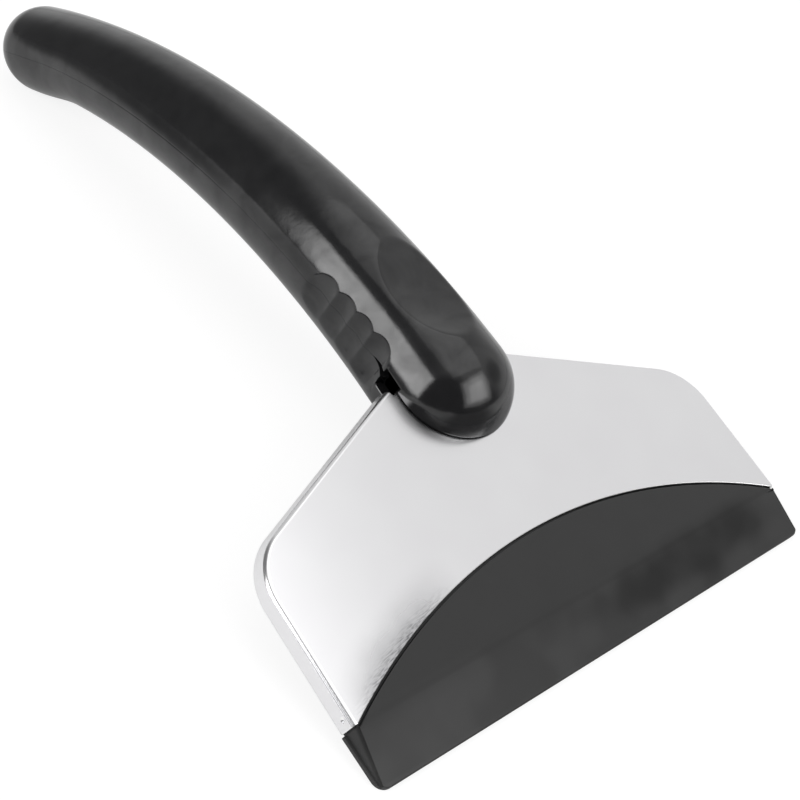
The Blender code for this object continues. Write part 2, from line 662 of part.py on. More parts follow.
def screw_mesh(shank, head, length):
    """A pan head screw with its point up and its head's bearing face at height zero."""
    point = [(0, length), (SCREW_TIP_RADIUS, length), (shank, length - SCREW_POINT), (shank, 0)]
    cap = [(head, 0), (head, -SCREW_HEAD_RIM), (head * SCREW_CROWN_RATIO, -SCREW_HEAD_HEIGHT),
           (0, -SCREW_HEAD_HEIGHT)]
    shape = bmesh.new()
    verts = [shape.verts.new((x, 0, z)) for x, z in point + cap]
    for first, second in zip(verts, verts[1:]):
        shape.edges.new((first, second))
    item = add_cutter("screw_pattern", mesh_from_bmesh("screw_pattern", shape))
    turning = item.modifiers.new("turned", "SCREW")
    turning.steps = SCREW_SIDES
    turning.render_steps = SCREW_SIDES
    turning.use_merge_vertices = True
    turning.merge_threshold = MERGE
    bits = []
    for wide, deep in ((CROSS_LENGTH, CROSS_WIDTH), (CROSS_WIDTH, CROSS_LENGTH)):
        low = (-wide / 2, -deep / 2, -SCREW_HEAD_HEIGHT - CLEARANCE)
        high = (wide / 2, deep / 2, -SCREW_HEAD_HEIGHT + CROSS_DEPTH)
        bits.append(add_cutter("cross", box_mesh("cross", low, high)))
        boolean(item, "DIFFERENCE", bits[-1])
    mesh = evaluated_mesh(item)
    for helper in [item] + bits:
        bpy.data.objects.remove(helper)
    return mesh


def make_screws(name, places, material):
    """Identical screws: each its own object, all on one mesh."""
    _, shank, head, length, _ = places[0]
    mesh = screw_mesh(shank, head, length)
    screws = []
    for number, (place, *_, distance) in enumerate(places, start=1):
        screw = add_part(f"{name}_{number}", mesh, material)
        screw.matrix_world = place @ Matrix.Translation((0, 0, seat_height(distance) - CLEARANCE))
        screws.append(screw)
    return screws


def set_down(parts):
    """Carry the whole tool to its rest on a table: scraping edge and tail down, origin below its middle."""
    bpy.context.view_layer.update()
    points = []
    for part in parts:
        mesh = evaluated_mesh(part)
        points += [part.matrix_world @ vert.co for vert in mesh.vertices]
        bpy.data.meshes.remove(mesh)
    tilt = max(atan2(-BLADE_THICKNESS - point.z, point.y) for point in points if point.y > HEAD_APEX_Y)
    turn = Matrix.Rotation(tilt, 4, "X")
    turned = [turn @ point for point in points]
    low_y = min(point.y for point in turned)
    high_y = max(point.y for point in turned)
    low_z = min(point.z for point in turned)
    rest = bpy.data.objects.new("rest", None)
    PARTS.objects.link(rest)
    rest.rotation_euler = (tilt, 0, 0)
    rest.location = (0, -(low_y + high_y) / 2, -low_z)
    for item in list(PARTS.objects) + list(CUTTERS.objects):
        if item is not rest:
            item.parent = rest


def main():
    black_gloss = make_material("gloss_black_plastic", (0.012, 0.012, 0.013), 0.3, 0.0)
    black_matte = make_material("matte_black_plastic", (0.045, 0.045, 0.045), 0.55, 0.0)
    steel = make_material("stainless_steel", (0.78, 0.78, 0.79), 0.28, 1.0)
    zinc = make_material("zinc_plated_steel", (0.6, 0.61, 0.64), 0.35, 1.0)
    clamp, grip = screw_places()
    parts = [make_upper_shell(black_gloss), make_lower_shell(black_gloss), make_head_plate(steel),
             make_blade(black_matte)]
    parts += make_screws("clamp_screw", clamp, zinc)
    parts += make_screws("grip_screw", grip, zinc)
    for part in parts:
        if part.name not in ("head_plate", "scraper_blade"):
            smooth(part.data)
    set_down(parts)


main()
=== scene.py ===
# %% [markdown]
# # Hand ice scraper
# A pressed stainless steel head holds a wide plastic blade, and a hollow two-shell handle of glossy
# black plastic clamps the back of the steel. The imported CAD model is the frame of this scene: it says
# where every piece lies. The pieces are remade here with finer edges, and each gets its real finish.

import json
from math import acos, asin, atan2, ceil, cos, degrees, pi, radians, sin, sqrt, tan

import bmesh
import bpy
from mathutils import Euler, Matrix, Vector


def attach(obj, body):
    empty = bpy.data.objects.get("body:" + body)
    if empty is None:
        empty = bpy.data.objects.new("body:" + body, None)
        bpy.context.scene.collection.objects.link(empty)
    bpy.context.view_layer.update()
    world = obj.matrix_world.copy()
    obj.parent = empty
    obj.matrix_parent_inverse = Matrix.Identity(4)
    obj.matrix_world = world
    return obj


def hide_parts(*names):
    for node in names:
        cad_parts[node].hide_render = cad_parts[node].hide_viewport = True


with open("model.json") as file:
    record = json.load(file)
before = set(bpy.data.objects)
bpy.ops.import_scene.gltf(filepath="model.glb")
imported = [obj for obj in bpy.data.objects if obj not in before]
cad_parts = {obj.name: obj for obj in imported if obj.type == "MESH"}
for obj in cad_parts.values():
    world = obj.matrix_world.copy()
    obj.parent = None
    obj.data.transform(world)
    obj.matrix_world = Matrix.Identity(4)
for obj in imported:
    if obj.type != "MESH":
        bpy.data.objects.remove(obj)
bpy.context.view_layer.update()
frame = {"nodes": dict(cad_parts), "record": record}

# %% [markdown]
# ## One frame to measure in
# The tool rests tilted, on its scraping edge and on the tail of its handle. It is easier to model it
# square to its flat steel face and to turn the finished piece. The record names one mount, the blade's
# flat underside, so that mount gives the tilt and the place. Lengths below are in millimetres: X runs
# along the blade, Y from the scraping edge to the handle, and Z up from the steel.

# %% The frame of the steel face
MM = 0.001
BLADE_THICKNESS = 4.2
MOUNT_BEHIND_EDGE = 25.0

mount = frame["record"]["mounts"][0]
up = -Vector(mount["axis"]).normalized()
along = Vector((0, up.z, -up.y))
origin = Vector(mount["pos_m"]) - along * MOUNT_BEHIND_EDGE * MM + up * BLADE_THICKNESS * MM
TILT = atan2(along.z, along.y)
PLATE = Matrix.Translation(origin) @ Matrix.Rotation(TILT, 4, "X")
FROM_MM = PLATE @ Matrix.Scale(MM, 4)
print("steel face tilted by", round(degrees(TILT), 2), "degrees")

# %% [markdown]
# ## The camera
# The photo's perspective is strong, so the camera stands close: about 300 mm from the steel. Its place
# and turn were fitted to the corners of the steel, the blade and the handle, and they are given in the
# frame of the steel face, so the view stays right however the tool rests.

# %% Camera
CAMERA_PLACE = (-209.40, -14.46, 209.71)
CAMERA_TURN = (37.800, -26.589, -37.910)
SENSOR_WIDTH = 36.0
FOCAL_LENGTH = 65.25
NEAREST_SEEN = 0.01

camera_data = bpy.data.cameras.new("camera")
camera_data.sensor_width = SENSOR_WIDTH
camera_data.lens = FOCAL_LENGTH
camera_data.clip_start = NEAREST_SEEN
camera = bpy.data.objects.new("camera", camera_data)
bpy.context.scene.collection.objects.link(camera)
turn = Euler([radians(angle) for angle in CAMERA_TURN]).to_matrix().to_4x4()
camera.matrix_world = PLATE @ Matrix.Translation(Vector(CAMERA_PLACE) * MM) @ turn
bpy.context.scene.camera = camera
print("camera at", [round(v, 3) for v in camera.matrix_world.translation])

# %% [markdown]
# ## Colours and nodes
# Colours are written as they look on a screen, in hex. Blender calculates with light, so one function
# turns them into linear values. A second small function adds a shader node, sets it up and links it.

# %% Helpers for materials
def linear(hex_colour):
    """A screen colour such as #808080 as the linear values that the shaders want."""
    channels = [int(hex_colour[start:start + 2], 16) / 255 for start in (1, 3, 5)]
    return [c / 12.92 if c <= 0.04045 else ((c + 0.055) / 1.055) ** 2.4 for c in channels] + [1.0]


def add_node(tree, kind, inputs=None, **settings):
    """Adds a node. Settings are its own options, and inputs are values, or what to link from: a
    socket, or a node, which stands for the first output that it has in use."""
    node = tree.nodes.new(kind)
    for name, value in settings.items():
        setattr(node, name, value)
    for socket, value in (inputs or {}).items():
        if isinstance(value, bpy.types.Node):
            value = next(out for out in value.outputs if out.enabled)
        if isinstance(value, bpy.types.NodeSocket):
            tree.links.new(value, node.inputs[socket])
        else:
            node.inputs[socket].default_value = value
    return node


def new_material(name):
    """An empty material and its node tree."""
    material = bpy.data.materials.new(name)
    material.use_nodes = True
    material.node_tree.nodes.clear()
    return material, material.node_tree


# %% [markdown]
# ## Glossy black ABS
# The handle is moulded in black ABS with a polished mould. It reflects like lacquer: a clear picture of
# the lamps, only slightly soft. A moulding is never quite flat, so a faint swell of a few millimetres
# bends the reflections, and the polish varies a little.

# %% Material: polished black ABS
ABS_BLACK = "#151516"
ABS_WORN = "#1A1A1B"
MOULD_SWELL = 5.0 * MM
MOULD_SWELL_HEIGHT = 0.10 * MM
POLISH_PATCH = 4.0 * MM
HANDLED_PATCH = 7.0 * MM

abs_black, tree = new_material("abs_polished_black")
place = add_node(tree, "ShaderNodeTexCoord").outputs["Object"]
patches = add_node(tree, "ShaderNodeTexNoise", {"Vector": place, "Scale": 1 / POLISH_PATCH,
                                                "Detail": 3.0})
colour = add_node(tree, "ShaderNodeMix", {"Factor": patches, "A": linear(ABS_BLACK),
                                          "B": linear(ABS_WORN)}, data_type="RGBA")
polish = add_node(tree, "ShaderNodeMapRange", {"Value": patches, "To Min": 0.10, "To Max": 0.16})
handled = add_node(tree, "ShaderNodeTexNoise", {"Vector": place, "Scale": 1 / HANDLED_PATCH,
                                                "Detail": 4.0, "Distortion": 0.6})
gleam = add_node(tree, "ShaderNodeMapRange", {"Value": handled, "From Min": 0.35, "From Max": 0.65,
                                              "To Min": 0.39, "To Max": 0.59})
swell_noise = add_node(tree, "ShaderNodeTexNoise", {"Vector": place, "Scale": 1 / MOULD_SWELL,
                                                    "Detail": 3.0})
waves = add_node(tree, "ShaderNodeBump", {"Height": swell_noise, "Strength": 0.42,
                                          "Distance": MOULD_SWELL_HEIGHT})
shader = add_node(tree, "ShaderNodeBsdfPrincipled", {"Base Color": colour, "Roughness": polish,
                                                     "IOR": 1.53, "Specular IOR Level": gleam,
                                                     "Normal": waves})
add_node(tree, "ShaderNodeOutputMaterial", {"Surface": shader})
print(len(tree.nodes), "nodes make the polished ABS")

# %% [markdown]
# ## Matt dark polypropylene
# The blade has to be softer than glass, so it is moulded in polypropylene, dyed dark grey. The mould is
# only blasted, not polished: highlights spread out wide, and the grey is slightly cloudy. The fine pits
# of the blasting are a bump.

# %% Material: matt polypropylene, as moulded
PP_GREY = "#141414"
PP_CLOUD = "#1C1C1C"
CLOUD_SIZE = 7.0 * MM
BLAST_GRAIN = 0.3 * MM
BLAST_DEPTH = 0.03 * MM

pp_grey, tree = new_material("polypropylene_matt")
place = add_node(tree, "ShaderNodeTexCoord").outputs["Object"]
cloud = add_node(tree, "ShaderNodeTexNoise", {"Vector": place, "Scale": 1 / CLOUD_SIZE, "Detail": 4.0})
colour = add_node(tree, "ShaderNodeMix", {"Factor": cloud, "A": linear(PP_GREY), "B": linear(PP_CLOUD)},
                  data_type="RGBA")
blast = add_node(tree, "ShaderNodeTexNoise", {"Vector": place, "Scale": 1 / BLAST_GRAIN, "Detail": 2.0})
pits = add_node(tree, "ShaderNodeBump", {"Height": blast, "Strength": 0.12, "Distance": BLAST_DEPTH})
print("blasted pits", round(BLAST_GRAIN / MM, 2), "mm wide")

# %% [markdown]
# Use has left its marks on the blade, and some light and shade is painted on it too; each is a mask. A
# Mapping node turns the place on the tool into one that is measured from the middle of the scraping
# edge. Pale scuffs lie on the long bevel where a wide haze allows, together with a painted sheen that
# makes the bevel lighter. Deep in the gap at the steel the plastic gets a painted shade.

# %% Scuffs with painted sheen, and painted shade in the gap
PP_SCUFF_AND_SHEEN = "#262626"
PP_GAP_SHADE = "#050505"
HAZE_SIZE = 13.0 * MM
SCUFF_AND_SHEEN_FROM_Y = 14.0 * MM
SCUFF_AND_SHEEN_FULL_Y = 10.0 * MM
GAP_SHADE_FROM_Z = -0.1 * MM
GAP_SHADE_FULL_Z = -0.3 * MM
GAP_SHADE_FROM_Y = 11.0 * MM
GAP_SHADE_FULL_Y = 12.0 * MM
AT_EDGE = {"Location": origin, "Rotation": (TILT, 0, 0)}

edge_place = add_node(tree, "ShaderNodeMapping", {"Vector": place, **AT_EDGE}, vector_type="TEXTURE")
from_edge = add_node(tree, "ShaderNodeSeparateXYZ", {"Vector": edge_place})
on_bevel = add_node(tree, "ShaderNodeMapRange", {"Value": from_edge.outputs["Y"],
                                                 "From Min": SCUFF_AND_SHEEN_FROM_Y, "From Max": SCUFF_AND_SHEEN_FULL_Y},
                    interpolation_type="SMOOTHSTEP")
haze = add_node(tree, "ShaderNodeTexNoise", {"Vector": place, "Scale": 1 / HAZE_SIZE, "Detail": 1.5})
patch = add_node(tree, "ShaderNodeMapRange", {"Value": haze, "From Min": 0.38, "From Max": 0.68},
                 interpolation_type="SMOOTHSTEP")
# Scuffs and painted sheen: the bevel is painted paler in hazy patches.
scuffed_and_sheen = add_node(tree, "ShaderNodeMath", {0: on_bevel, 1: patch}, operation="MULTIPLY")
colour = add_node(tree, "ShaderNodeMix", {"Factor": scuffed_and_sheen, "A": colour, "B": linear(PP_SCUFF_AND_SHEEN)},
                  data_type="RGBA")
# Painted shade: the plastic is painted darker deep in the gap below the steel's face.
in_gap = add_node(tree, "ShaderNodeMapRange", {"Value": from_edge.outputs["Z"],
                                               "From Min": GAP_SHADE_FROM_Z, "From Max": GAP_SHADE_FULL_Z})
behind = add_node(tree, "ShaderNodeMapRange", {"Value": from_edge.outputs["Y"],
                                               "From Min": GAP_SHADE_FROM_Y, "From Max": GAP_SHADE_FULL_Y})
gap_shade_mask = add_node(tree, "ShaderNodeMath", {0: in_gap, 1: behind}, operation="MULTIPLY")
colour = add_node(tree, "ShaderNodeMix", {"Factor": gap_shade_mask, "A": colour, "B": linear(PP_GAP_SHADE)},
                  data_type="RGBA")
print("painted_gap_shade from", round(-GAP_SHADE_FROM_Z / MM, 2), "mm below the steel's face")

# %% [markdown]
# Dirt clings to the edge of the blade's end, so the plastic gleams less along that line. The line leans
# inwards a little towards the rear.

# %% Dirt along the end's edge
END_EDGE_X = 67.06 * MM
END_EDGE_SLOPE = -0.07
DIRT_CORE = 0.05 * MM
DIRT_REACH = 0.32 * MM

half_width = add_node(tree, "ShaderNodeMath", {0: from_edge.outputs["X"]}, operation="ABSOLUTE")
edge_x = add_node(tree, "ShaderNodeMath", {0: from_edge.outputs["Y"], 1: END_EDGE_SLOPE, 2: END_EDGE_X},
                  operation="MULTIPLY_ADD")
off_edge = add_node(tree, "ShaderNodeMath", {0: half_width, 1: edge_x}, operation="SUBTRACT")
off_edge = add_node(tree, "ShaderNodeMath", {0: off_edge}, operation="ABSOLUTE")
clean = add_node(tree, "ShaderNodeMapRange", {"Value": off_edge, "From Min": DIRT_CORE,
                                              "From Max": DIRT_REACH, "To Min": 0.2, "To Max": 0.5},
                 interpolation_type="SMOOTHSTEP")
print("dirt reaches", round(DIRT_REACH / MM, 2), "mm from the edge")

# %% [markdown]
# On one side scraping has worn the blade smooth: there is an oval patch that is less rough and a little
# greasy. The haze is added to the distance from its middle, which makes its border ragged.

# %% The worn patch, and the finished plastic
WORN_SIZE = (38 * MM, 6.0 * MM, 20 * MM)
WORN_X = 0.85
WORN_Y = 7.6 * MM
WORN_CORE = 0.9
WORN_REACH = 1.7

on_blade = add_node(tree, "ShaderNodeMapping", {"Vector": place, "Location": origin + along * WORN_Y,
                                                "Rotation": (TILT, 0, 0), "Scale": WORN_SIZE},
                    vector_type="TEXTURE")
off_patch = add_node(tree, "ShaderNodeVectorMath", {0: on_blade, 1: (WORN_X, 0, 0)},
                     operation="DISTANCE")
ragged = add_node(tree, "ShaderNodeMath", {0: off_patch, 1: haze})
worn = add_node(tree, "ShaderNodeMapRange", {"Value": ragged, "From Min": WORN_CORE,
                                             "From Max": WORN_REACH, "To Min": 0.30, "To Max": 0.42},
                interpolation_type="SMOOTHSTEP")
greasy = add_node(tree, "ShaderNodeMapRange", {"Value": ragged, "From Min": WORN_CORE,
                                               "From Max": WORN_REACH, "To Min": 0.72, "To Max": 1.0},
                  interpolation_type="SMOOTHSTEP")
gleam = add_node(tree, "ShaderNodeMath", {0: clean, 1: greasy}, operation="MULTIPLY")
shader = add_node(tree, "ShaderNodeBsdfPrincipled", {"Base Color": colour, "Roughness": worn,
                                                     "IOR": 1.49, "Specular IOR Level": gleam,
                                                     "Normal": pits})
add_node(tree, "ShaderNodeOutputMaterial", {"Surface": shader})
print(len(tree.nodes), "nodes make the matt polypropylene")

# %% [markdown]
# ## Zinc plated screws
# The screws are steel with a thin bright coat of zinc. It looks like a slightly blue metal with fine
# speckles, the crystals of the plating.

# %% Material: zinc plating, on the CAD screws
ZINC = "#C4C7CC"
ZINC_CRYSTAL = "#D9DBDE"
ZINC_CRYSTAL_SIZE = 0.5 * MM

zinc, tree = new_material("zinc_plated")
place = add_node(tree, "ShaderNodeTexCoord").outputs["Object"]
speckle = add_node(tree, "ShaderNodeTexNoise", {"Vector": place, "Scale": 1 / ZINC_CRYSTAL_SIZE,
                                                "Detail": 3.0})
colour = add_node(tree, "ShaderNodeMix", {"Factor": speckle, "A": linear(ZINC),
                                          "B": linear(ZINC_CRYSTAL)}, data_type="RGBA")
shine = add_node(tree, "ShaderNodeMapRange", {"Value": speckle, "To Min": 0.25, "To Max": 0.42})
shader = add_node(tree, "ShaderNodeBsdfPrincipled", {"Base Color": colour, "Metallic": 1.0,
                                                     "Roughness": shine})
add_node(tree, "ShaderNodeOutputMaterial", {"Surface": shader})

SCREWS = ("clamp_screw_1", "clamp_screw_2", "grip_screw_1", "grip_screw_2")
for name in SCREWS:
    mesh = frame["nodes"][name].data
    mesh.materials.clear()
    mesh.materials.append(zinc)
print(len(SCREWS), "CAD screws kept, zinc plated")

# %% [markdown]
# ## From a bmesh to a finished piece
# Every new piece is modelled in millimetres and square to the steel. A helper carries it to its place,
# makes the object, hangs it on its body and hides the CAD nodes that it replaces. Another collects the
# edges of some faces, which many of the bmesh operators want beside the faces themselves. The tool is
# the same on both sides, so the pieces are drawn as right halves, and a third helper mirrors them.

# %% Helpers: edges of faces, mirrored halves and finished pieces
SHARP = radians(40)


def edges_of(faces):
    """The edges of some faces, each of them once and always in the same order."""
    return list(dict.fromkeys(edge for face in faces for edge in face.edges))


def mirror_half(shape, reach):
    """Adds the mirror image of a right half, and merges what lies closer together than the reach."""
    whole = shape.verts[:] + shape.edges[:] + shape.faces[:]
    bmesh.ops.mirror(shape, geom=whole, axis="X", merge_dist=reach)
    bmesh.ops.remove_doubles(shape, verts=shape.verts, dist=reach)


def finish_piece(shape, name, material, slot, *nodes):
    """Places the shape, makes an object of it, hangs it on the root body and hides the CAD nodes it
    replaces.
    """
    bmesh.ops.transform(shape, matrix=FROM_MM, verts=shape.verts)
    mesh = bpy.data.meshes.new(name)
    shape.to_mesh(mesh)
    shape.free()
    mesh.shade_smooth()
    mesh.set_sharp_from_angle(angle=SHARP)
    mesh.materials.append(material)
    piece = bpy.data.objects.new(name, mesh)
    bpy.context.scene.collection.objects.link(piece)
    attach(piece, "root")
    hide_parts(*nodes)
    print(name, "has", sum(len(face.vertices) - 2 for face in mesh.polygons), "triangles")
    return piece


# %% [markdown]
# ## The handle's form
# The handle is an oval tube on an arch. It is round at the nose, tapers towards the tail, swells a
# little where the hand stops, and ends in a shorter dome. Everything is a function of the distance
# along the arch, measured from the centre of the nose.

# %% The arch and the oval
NOSE_CENTRE_Y = 64.6
AXIS_DROP = 2.3
ARCH_RADIUS = 249.0
ARCH_LENGTH = 157.0
NOSE_LENGTH = 14.6
TAIL_ROUND = 11.5
NOSE_HALF_HEIGHT = 14.6
TAIL_HALF_HEIGHT = 10.4
TAIL_SWELL = 0.7
SWELL_START = 134.0
SWELL_LENGTH = 20.0
OVAL_RATIO = 1.025
TAPER = (NOSE_HALF_HEIGHT - TAIL_HALF_HEIGHT) / ARCH_LENGTH


def ease(value):
    """0 below 0, 1 above 1 and a smooth step between."""
    value = min(max(value, 0.0), 1.0)
    return value * value * (3 - 2 * value)


def upright(distance):
    """A place on the axis: its own Y runs along the arch and its own Z is square to it."""
    bend = max(distance, 0) / ARCH_RADIUS
    y = NOSE_CENTRE_Y + ARCH_RADIUS * sin(bend) + min(distance, 0)
    z = -AXIS_DROP - ARCH_RADIUS * (1 - cos(bend))
    return Matrix.Translation((0, y, z)) @ Matrix.Rotation(-bend, 4, "X")


def swell(distance):
    """How much thicker the tail is than the plain taper."""
    return TAIL_SWELL * ease((distance - SWELL_START) / SWELL_LENGTH)


def dome(distance):
    """How far the section has closed in the round ends: 1 along the body and 0 at the tips."""
    past = distance / NOSE_LENGTH if distance < 0 else max(distance - ARCH_LENGTH, 0) / TAIL_ROUND
    return sqrt(max(1 - past * past, 0.0))


def half_height(distance):
    """Half the height of the section at a distance along the arch."""
    return (NOSE_HALF_HEIGHT - TAPER * distance + swell(distance)) * dome(distance)


def skin(angle, distance):
    """A point of the plain tube: angle 0 is the crown, a right angle the widest part of the side."""
    radius = half_height(distance)
    return upright(distance) @ Vector((OVAL_RATIO * radius * sin(angle), 0,
                                       radius * cos(angle) - swell(distance)))


print("handle from", round(skin(0, -NOSE_LENGTH).y, 1), "to",
      round(skin(0, ARCH_LENGTH + TAIL_ROUND).y, 1), "mm behind the scraping edge")

# %% [markdown]
# ## Where the two shells meet
# Over the steel each shell bears on its own side of the sheet. On both sides of the handle a notch
# lets the steel's rear edge in, and behind it a slit closes on to the parting line. The real joint
# is almost shut, so it is drawn as a hair of 0.04 mm, with its edges barely broken.

# %% The joint line of each shell
SHEET = 0.8
SEAT_GAP = 0.4
PARTING_GAP = 0.04
PARTING_RISE = 1.4
PARTING_RISE_TAIL = -0.2
NOTCH_START = 1.46
NOTCH_END = 6.96
NOTCH_RISE = 1.5
NOTCH_DROP = 3.7
SLIT_END = 11.96
SLIT_STEP = 0.03


def parting_lift(distance):
    """Height of the parting line over the axis: it sinks steadily towards the tail."""
    share = min(max(distance / ARCH_LENGTH, 0), 1)
    return PARTING_RISE + (PARTING_RISE_TAIL - PARTING_RISE) * share


def joint_lift(distance, side):
    """Height of a shell's joint edge over the axis: side +1 is the upper shell, and -1 the lower."""
    parting = parting_lift(distance) + side * PARTING_GAP / 2
    if distance >= SLIT_END:
        return parting
    seat = SEAT_GAP if side > 0 else -SHEET - SEAT_GAP
    if NOTCH_START < distance < NOTCH_END:
        seat = NOTCH_RISE if side > 0 else -NOTCH_DROP
    bend = max(distance, 0) / ARCH_RADIUS
    lift = (seat + AXIS_DROP + ARCH_RADIUS * (1 - cos(bend))) / cos(bend)
    if distance > NOTCH_END:
        share = (distance - NOTCH_END) / (SLIT_END - NOTCH_END)
        lift += (parting - lift) * share
    return lift


def joint_angle(distance, side):
    """The angle round the section at which a shell's joint edge lies."""
    radius = max(half_height(distance), 1e-6)
    height = (joint_lift(distance, side) + swell(distance)) / radius
    return acos(min(max(height, -1.0), 1.0))


NOTCH_MIDDLE = (NOTCH_START + NOTCH_END) / 2
print("notch edges", [round(joint_lift(NOTCH_MIDDLE, side), 2) for side in (1, -1)], "mm over the axis")

# %% [markdown]
# ## Finger ripples
# On each side four shallow grooves run up and down for the fingers. They are cut straight in from the
# side, so their upper border is a row of scallops on the round of the handle. It is crisp above, while
# below the grooves get shallower and fade out. Two shapes are blended with a smooth minimum: it takes
# the lower of two values, and rounds the corner where they meet.

# %% The ripple wall
RIPPLES = 4
RIPPLE_PITCH = 6.0
RIPPLE_FRONT_Y = 73.4
RIPPLE_REAR_Y = RIPPLE_FRONT_Y + RIPPLES * RIPPLE_PITCH
RIDGE_INSET = 1.4
RIPPLE_DEPTH = 0.6
RIPPLE_RUNOUT = 2.5
RIDGE_ROUNDING = 0.3
BORDER_ROUNDING = 0.32
FADE_ROUNDING = 0.6
FADE_START = -1.0
FADE_RATE = 0.06
CRISP_FROM = -3.0
CRISP_RISE = 5.0
RIDGE_X = half_height(RIPPLE_FRONT_Y - NOSE_CENTRE_Y) * OVAL_RATIO - RIDGE_INSET
GROOVE_RADIUS = ((RIPPLE_PITCH / 2) ** 2 + RIPPLE_DEPTH ** 2) / (2 * RIPPLE_DEPTH)


def smooth_min(first, second, rounding):
    """The smaller of two heights, with the corner between them rounded."""
    near = max(rounding - abs(first - second), 0.0) / rounding
    return min(first, second) - near * near * rounding / 4


def groove_x(y, number):
    """Distance from the middle at which one groove's round wall lies."""
    middle = RIPPLE_FRONT_Y + (number + 0.5) * RIPPLE_PITCH
    reach = min(abs(y - middle), GROOVE_RADIUS * 0.9)
    return RIDGE_X - RIPPLE_DEPTH + GROOVE_RADIUS - sqrt(GROOVE_RADIUS ** 2 - reach ** 2)


def ripple_x(y):
    """Distance from the middle at which the rippled wall lies."""
    outside = max(RIPPLE_FRONT_Y - y, y - RIPPLE_REAR_Y, 0.0)
    slope = (NOSE_HALF_HEIGHT * OVAL_RATIO - RIDGE_X) / RIPPLE_RUNOUT
    if outside > 0:
        return RIDGE_X + outside * slope
    place = (y - RIPPLE_FRONT_Y) / RIPPLE_PITCH
    number = min(int(place), RIPPLES - 1)
    neighbour = number + (1 if place - number > 0.5 else -1)
    if 0 <= neighbour < RIPPLES:
        return smooth_min(groove_x(y, number), groove_x(y, neighbour), RIDGE_ROUNDING)
    return groove_x(y, number)


def carve_ripples(point, lift):
    """Cuts the ripples into a point of the +X side that lies so far above the axis."""
    fade = max(FADE_START - lift, 0.0) ** 2 * FADE_RATE
    crisp = ease((lift - CRISP_FROM) / CRISP_RISE)
    rounding = FADE_ROUNDING + (BORDER_ROUNDING - FADE_ROUNDING) * crisp
    if RIPPLE_FRONT_Y - 2 * RIPPLE_RUNOUT < point.y < RIPPLE_REAR_Y + 2 * RIPPLE_RUNOUT:
        point.x = smooth_min(point.x, ripple_x(point.y) + fade, rounding)
    return point


print("ripple ridges", round(RIDGE_X, 2), "mm from the middle, grooves", RIPPLE_DEPTH, "mm deep")

# %% [markdown]
# ## Thumb dish
# On the crown a long oval dish takes the thumb. It is the place where a large ball, stretched along the
# handle, dips into the tube. Its rim is a fine, slightly rounded edge, so the mesh has to follow it.

# %% The dish
DISH_DISTANCE = 17.6
DISH_LENGTH = 28.4
DISH_WIDTH = 17.0
DISH_CROSS_RADIUS = 80.0
DISH_BALL_HEIGHT = 20.0
DISH_ROUNDING = 0.4
CROWN = half_height(DISH_DISTANCE)
DISH_DEPTH = (DISH_WIDTH / 2) ** 2 / 2 * (1 / DISH_CROSS_RADIUS + 1 / (OVAL_RATIO ** 2 * CROWN))
DISH_LONG_RADIUS = 1 / (2 * DISH_DEPTH / (DISH_LENGTH / 2) ** 2 - 1 / ARCH_RADIUS)
DISH_FRAME = upright(DISH_DISTANCE)
DISH_FRAME_BACK = DISH_FRAME.inverted()


def dish_height(x, y):
    """Height of the dish's floor in the dish's own frame."""
    across = x * x / (DISH_CROSS_RADIUS * DISH_BALL_HEIGHT)
    lengthways = y * y / (DISH_LONG_RADIUS * DISH_BALL_HEIGHT)
    return CROWN - DISH_DEPTH + DISH_BALL_HEIGHT * (1 - sqrt(max(1 - across - lengthways, 0.0)))


def carve_dish(point):
    """Lowers a point of the crown on to the dish, with the rim rounded."""
    local = DISH_FRAME_BACK @ point
    if abs(local.x) < DISH_WIDTH and abs(local.y) < DISH_LENGTH and local.z > 0:
        local.z = smooth_min(local.z, dish_height(local.x, local.y), DISH_ROUNDING)
    return DISH_FRAME @ local


print("thumb dish", round(DISH_DEPTH, 2), "mm deep")

# %% [markdown]
# ## A mesh that follows the edges
# A crisp edge looks clean only where the mesh has a line along it. The shells start as a flat grid of
# rows, along the arch, and columns, round the section. The columns crowd together along the ripple
# border, the rows along the ridges, and rings of the grid are pulled into the oval of the dish's rim.

# %% Rows and columns
NEAR = (0.06, 0.15, 0.3, 0.6)
DETAIL_STEP = 0.5
COLUMN_STEP = 0.55
BODY_STEP = 1.8
DOME_STEPS = 26
DETAIL_END = 48.0
LEAST_STEP = 0.02
DISH_OVER_CROWN = 1.06
DISH_ARC = DISH_WIDTH / 2 * DISH_OVER_CROWN
CREASE_ANGLE = radians(62)


def beside(place):
    """A line and its close neighbours on both sides."""
    return [place - step for step in NEAR] + [place] + [place + step for step in NEAR]


def fill_in(stops, longest):
    """The sorted stops, with even steps put between them where they lie far apart."""
    places = [stops[0]]
    for stop in stops[1:]:
        gap = stop - places[-1]
        if gap < LEAST_STEP:
            continue
        steps = ceil(gap / longest)
        places += [places[-1] + gap * (step + 1) / steps for step in range(steps)]
    return places


def arch_distance(y):
    """The distance along the arch at which the axis has reached y."""
    return ARCH_RADIUS * asin((y - NOSE_CENTRE_Y) / ARCH_RADIUS)


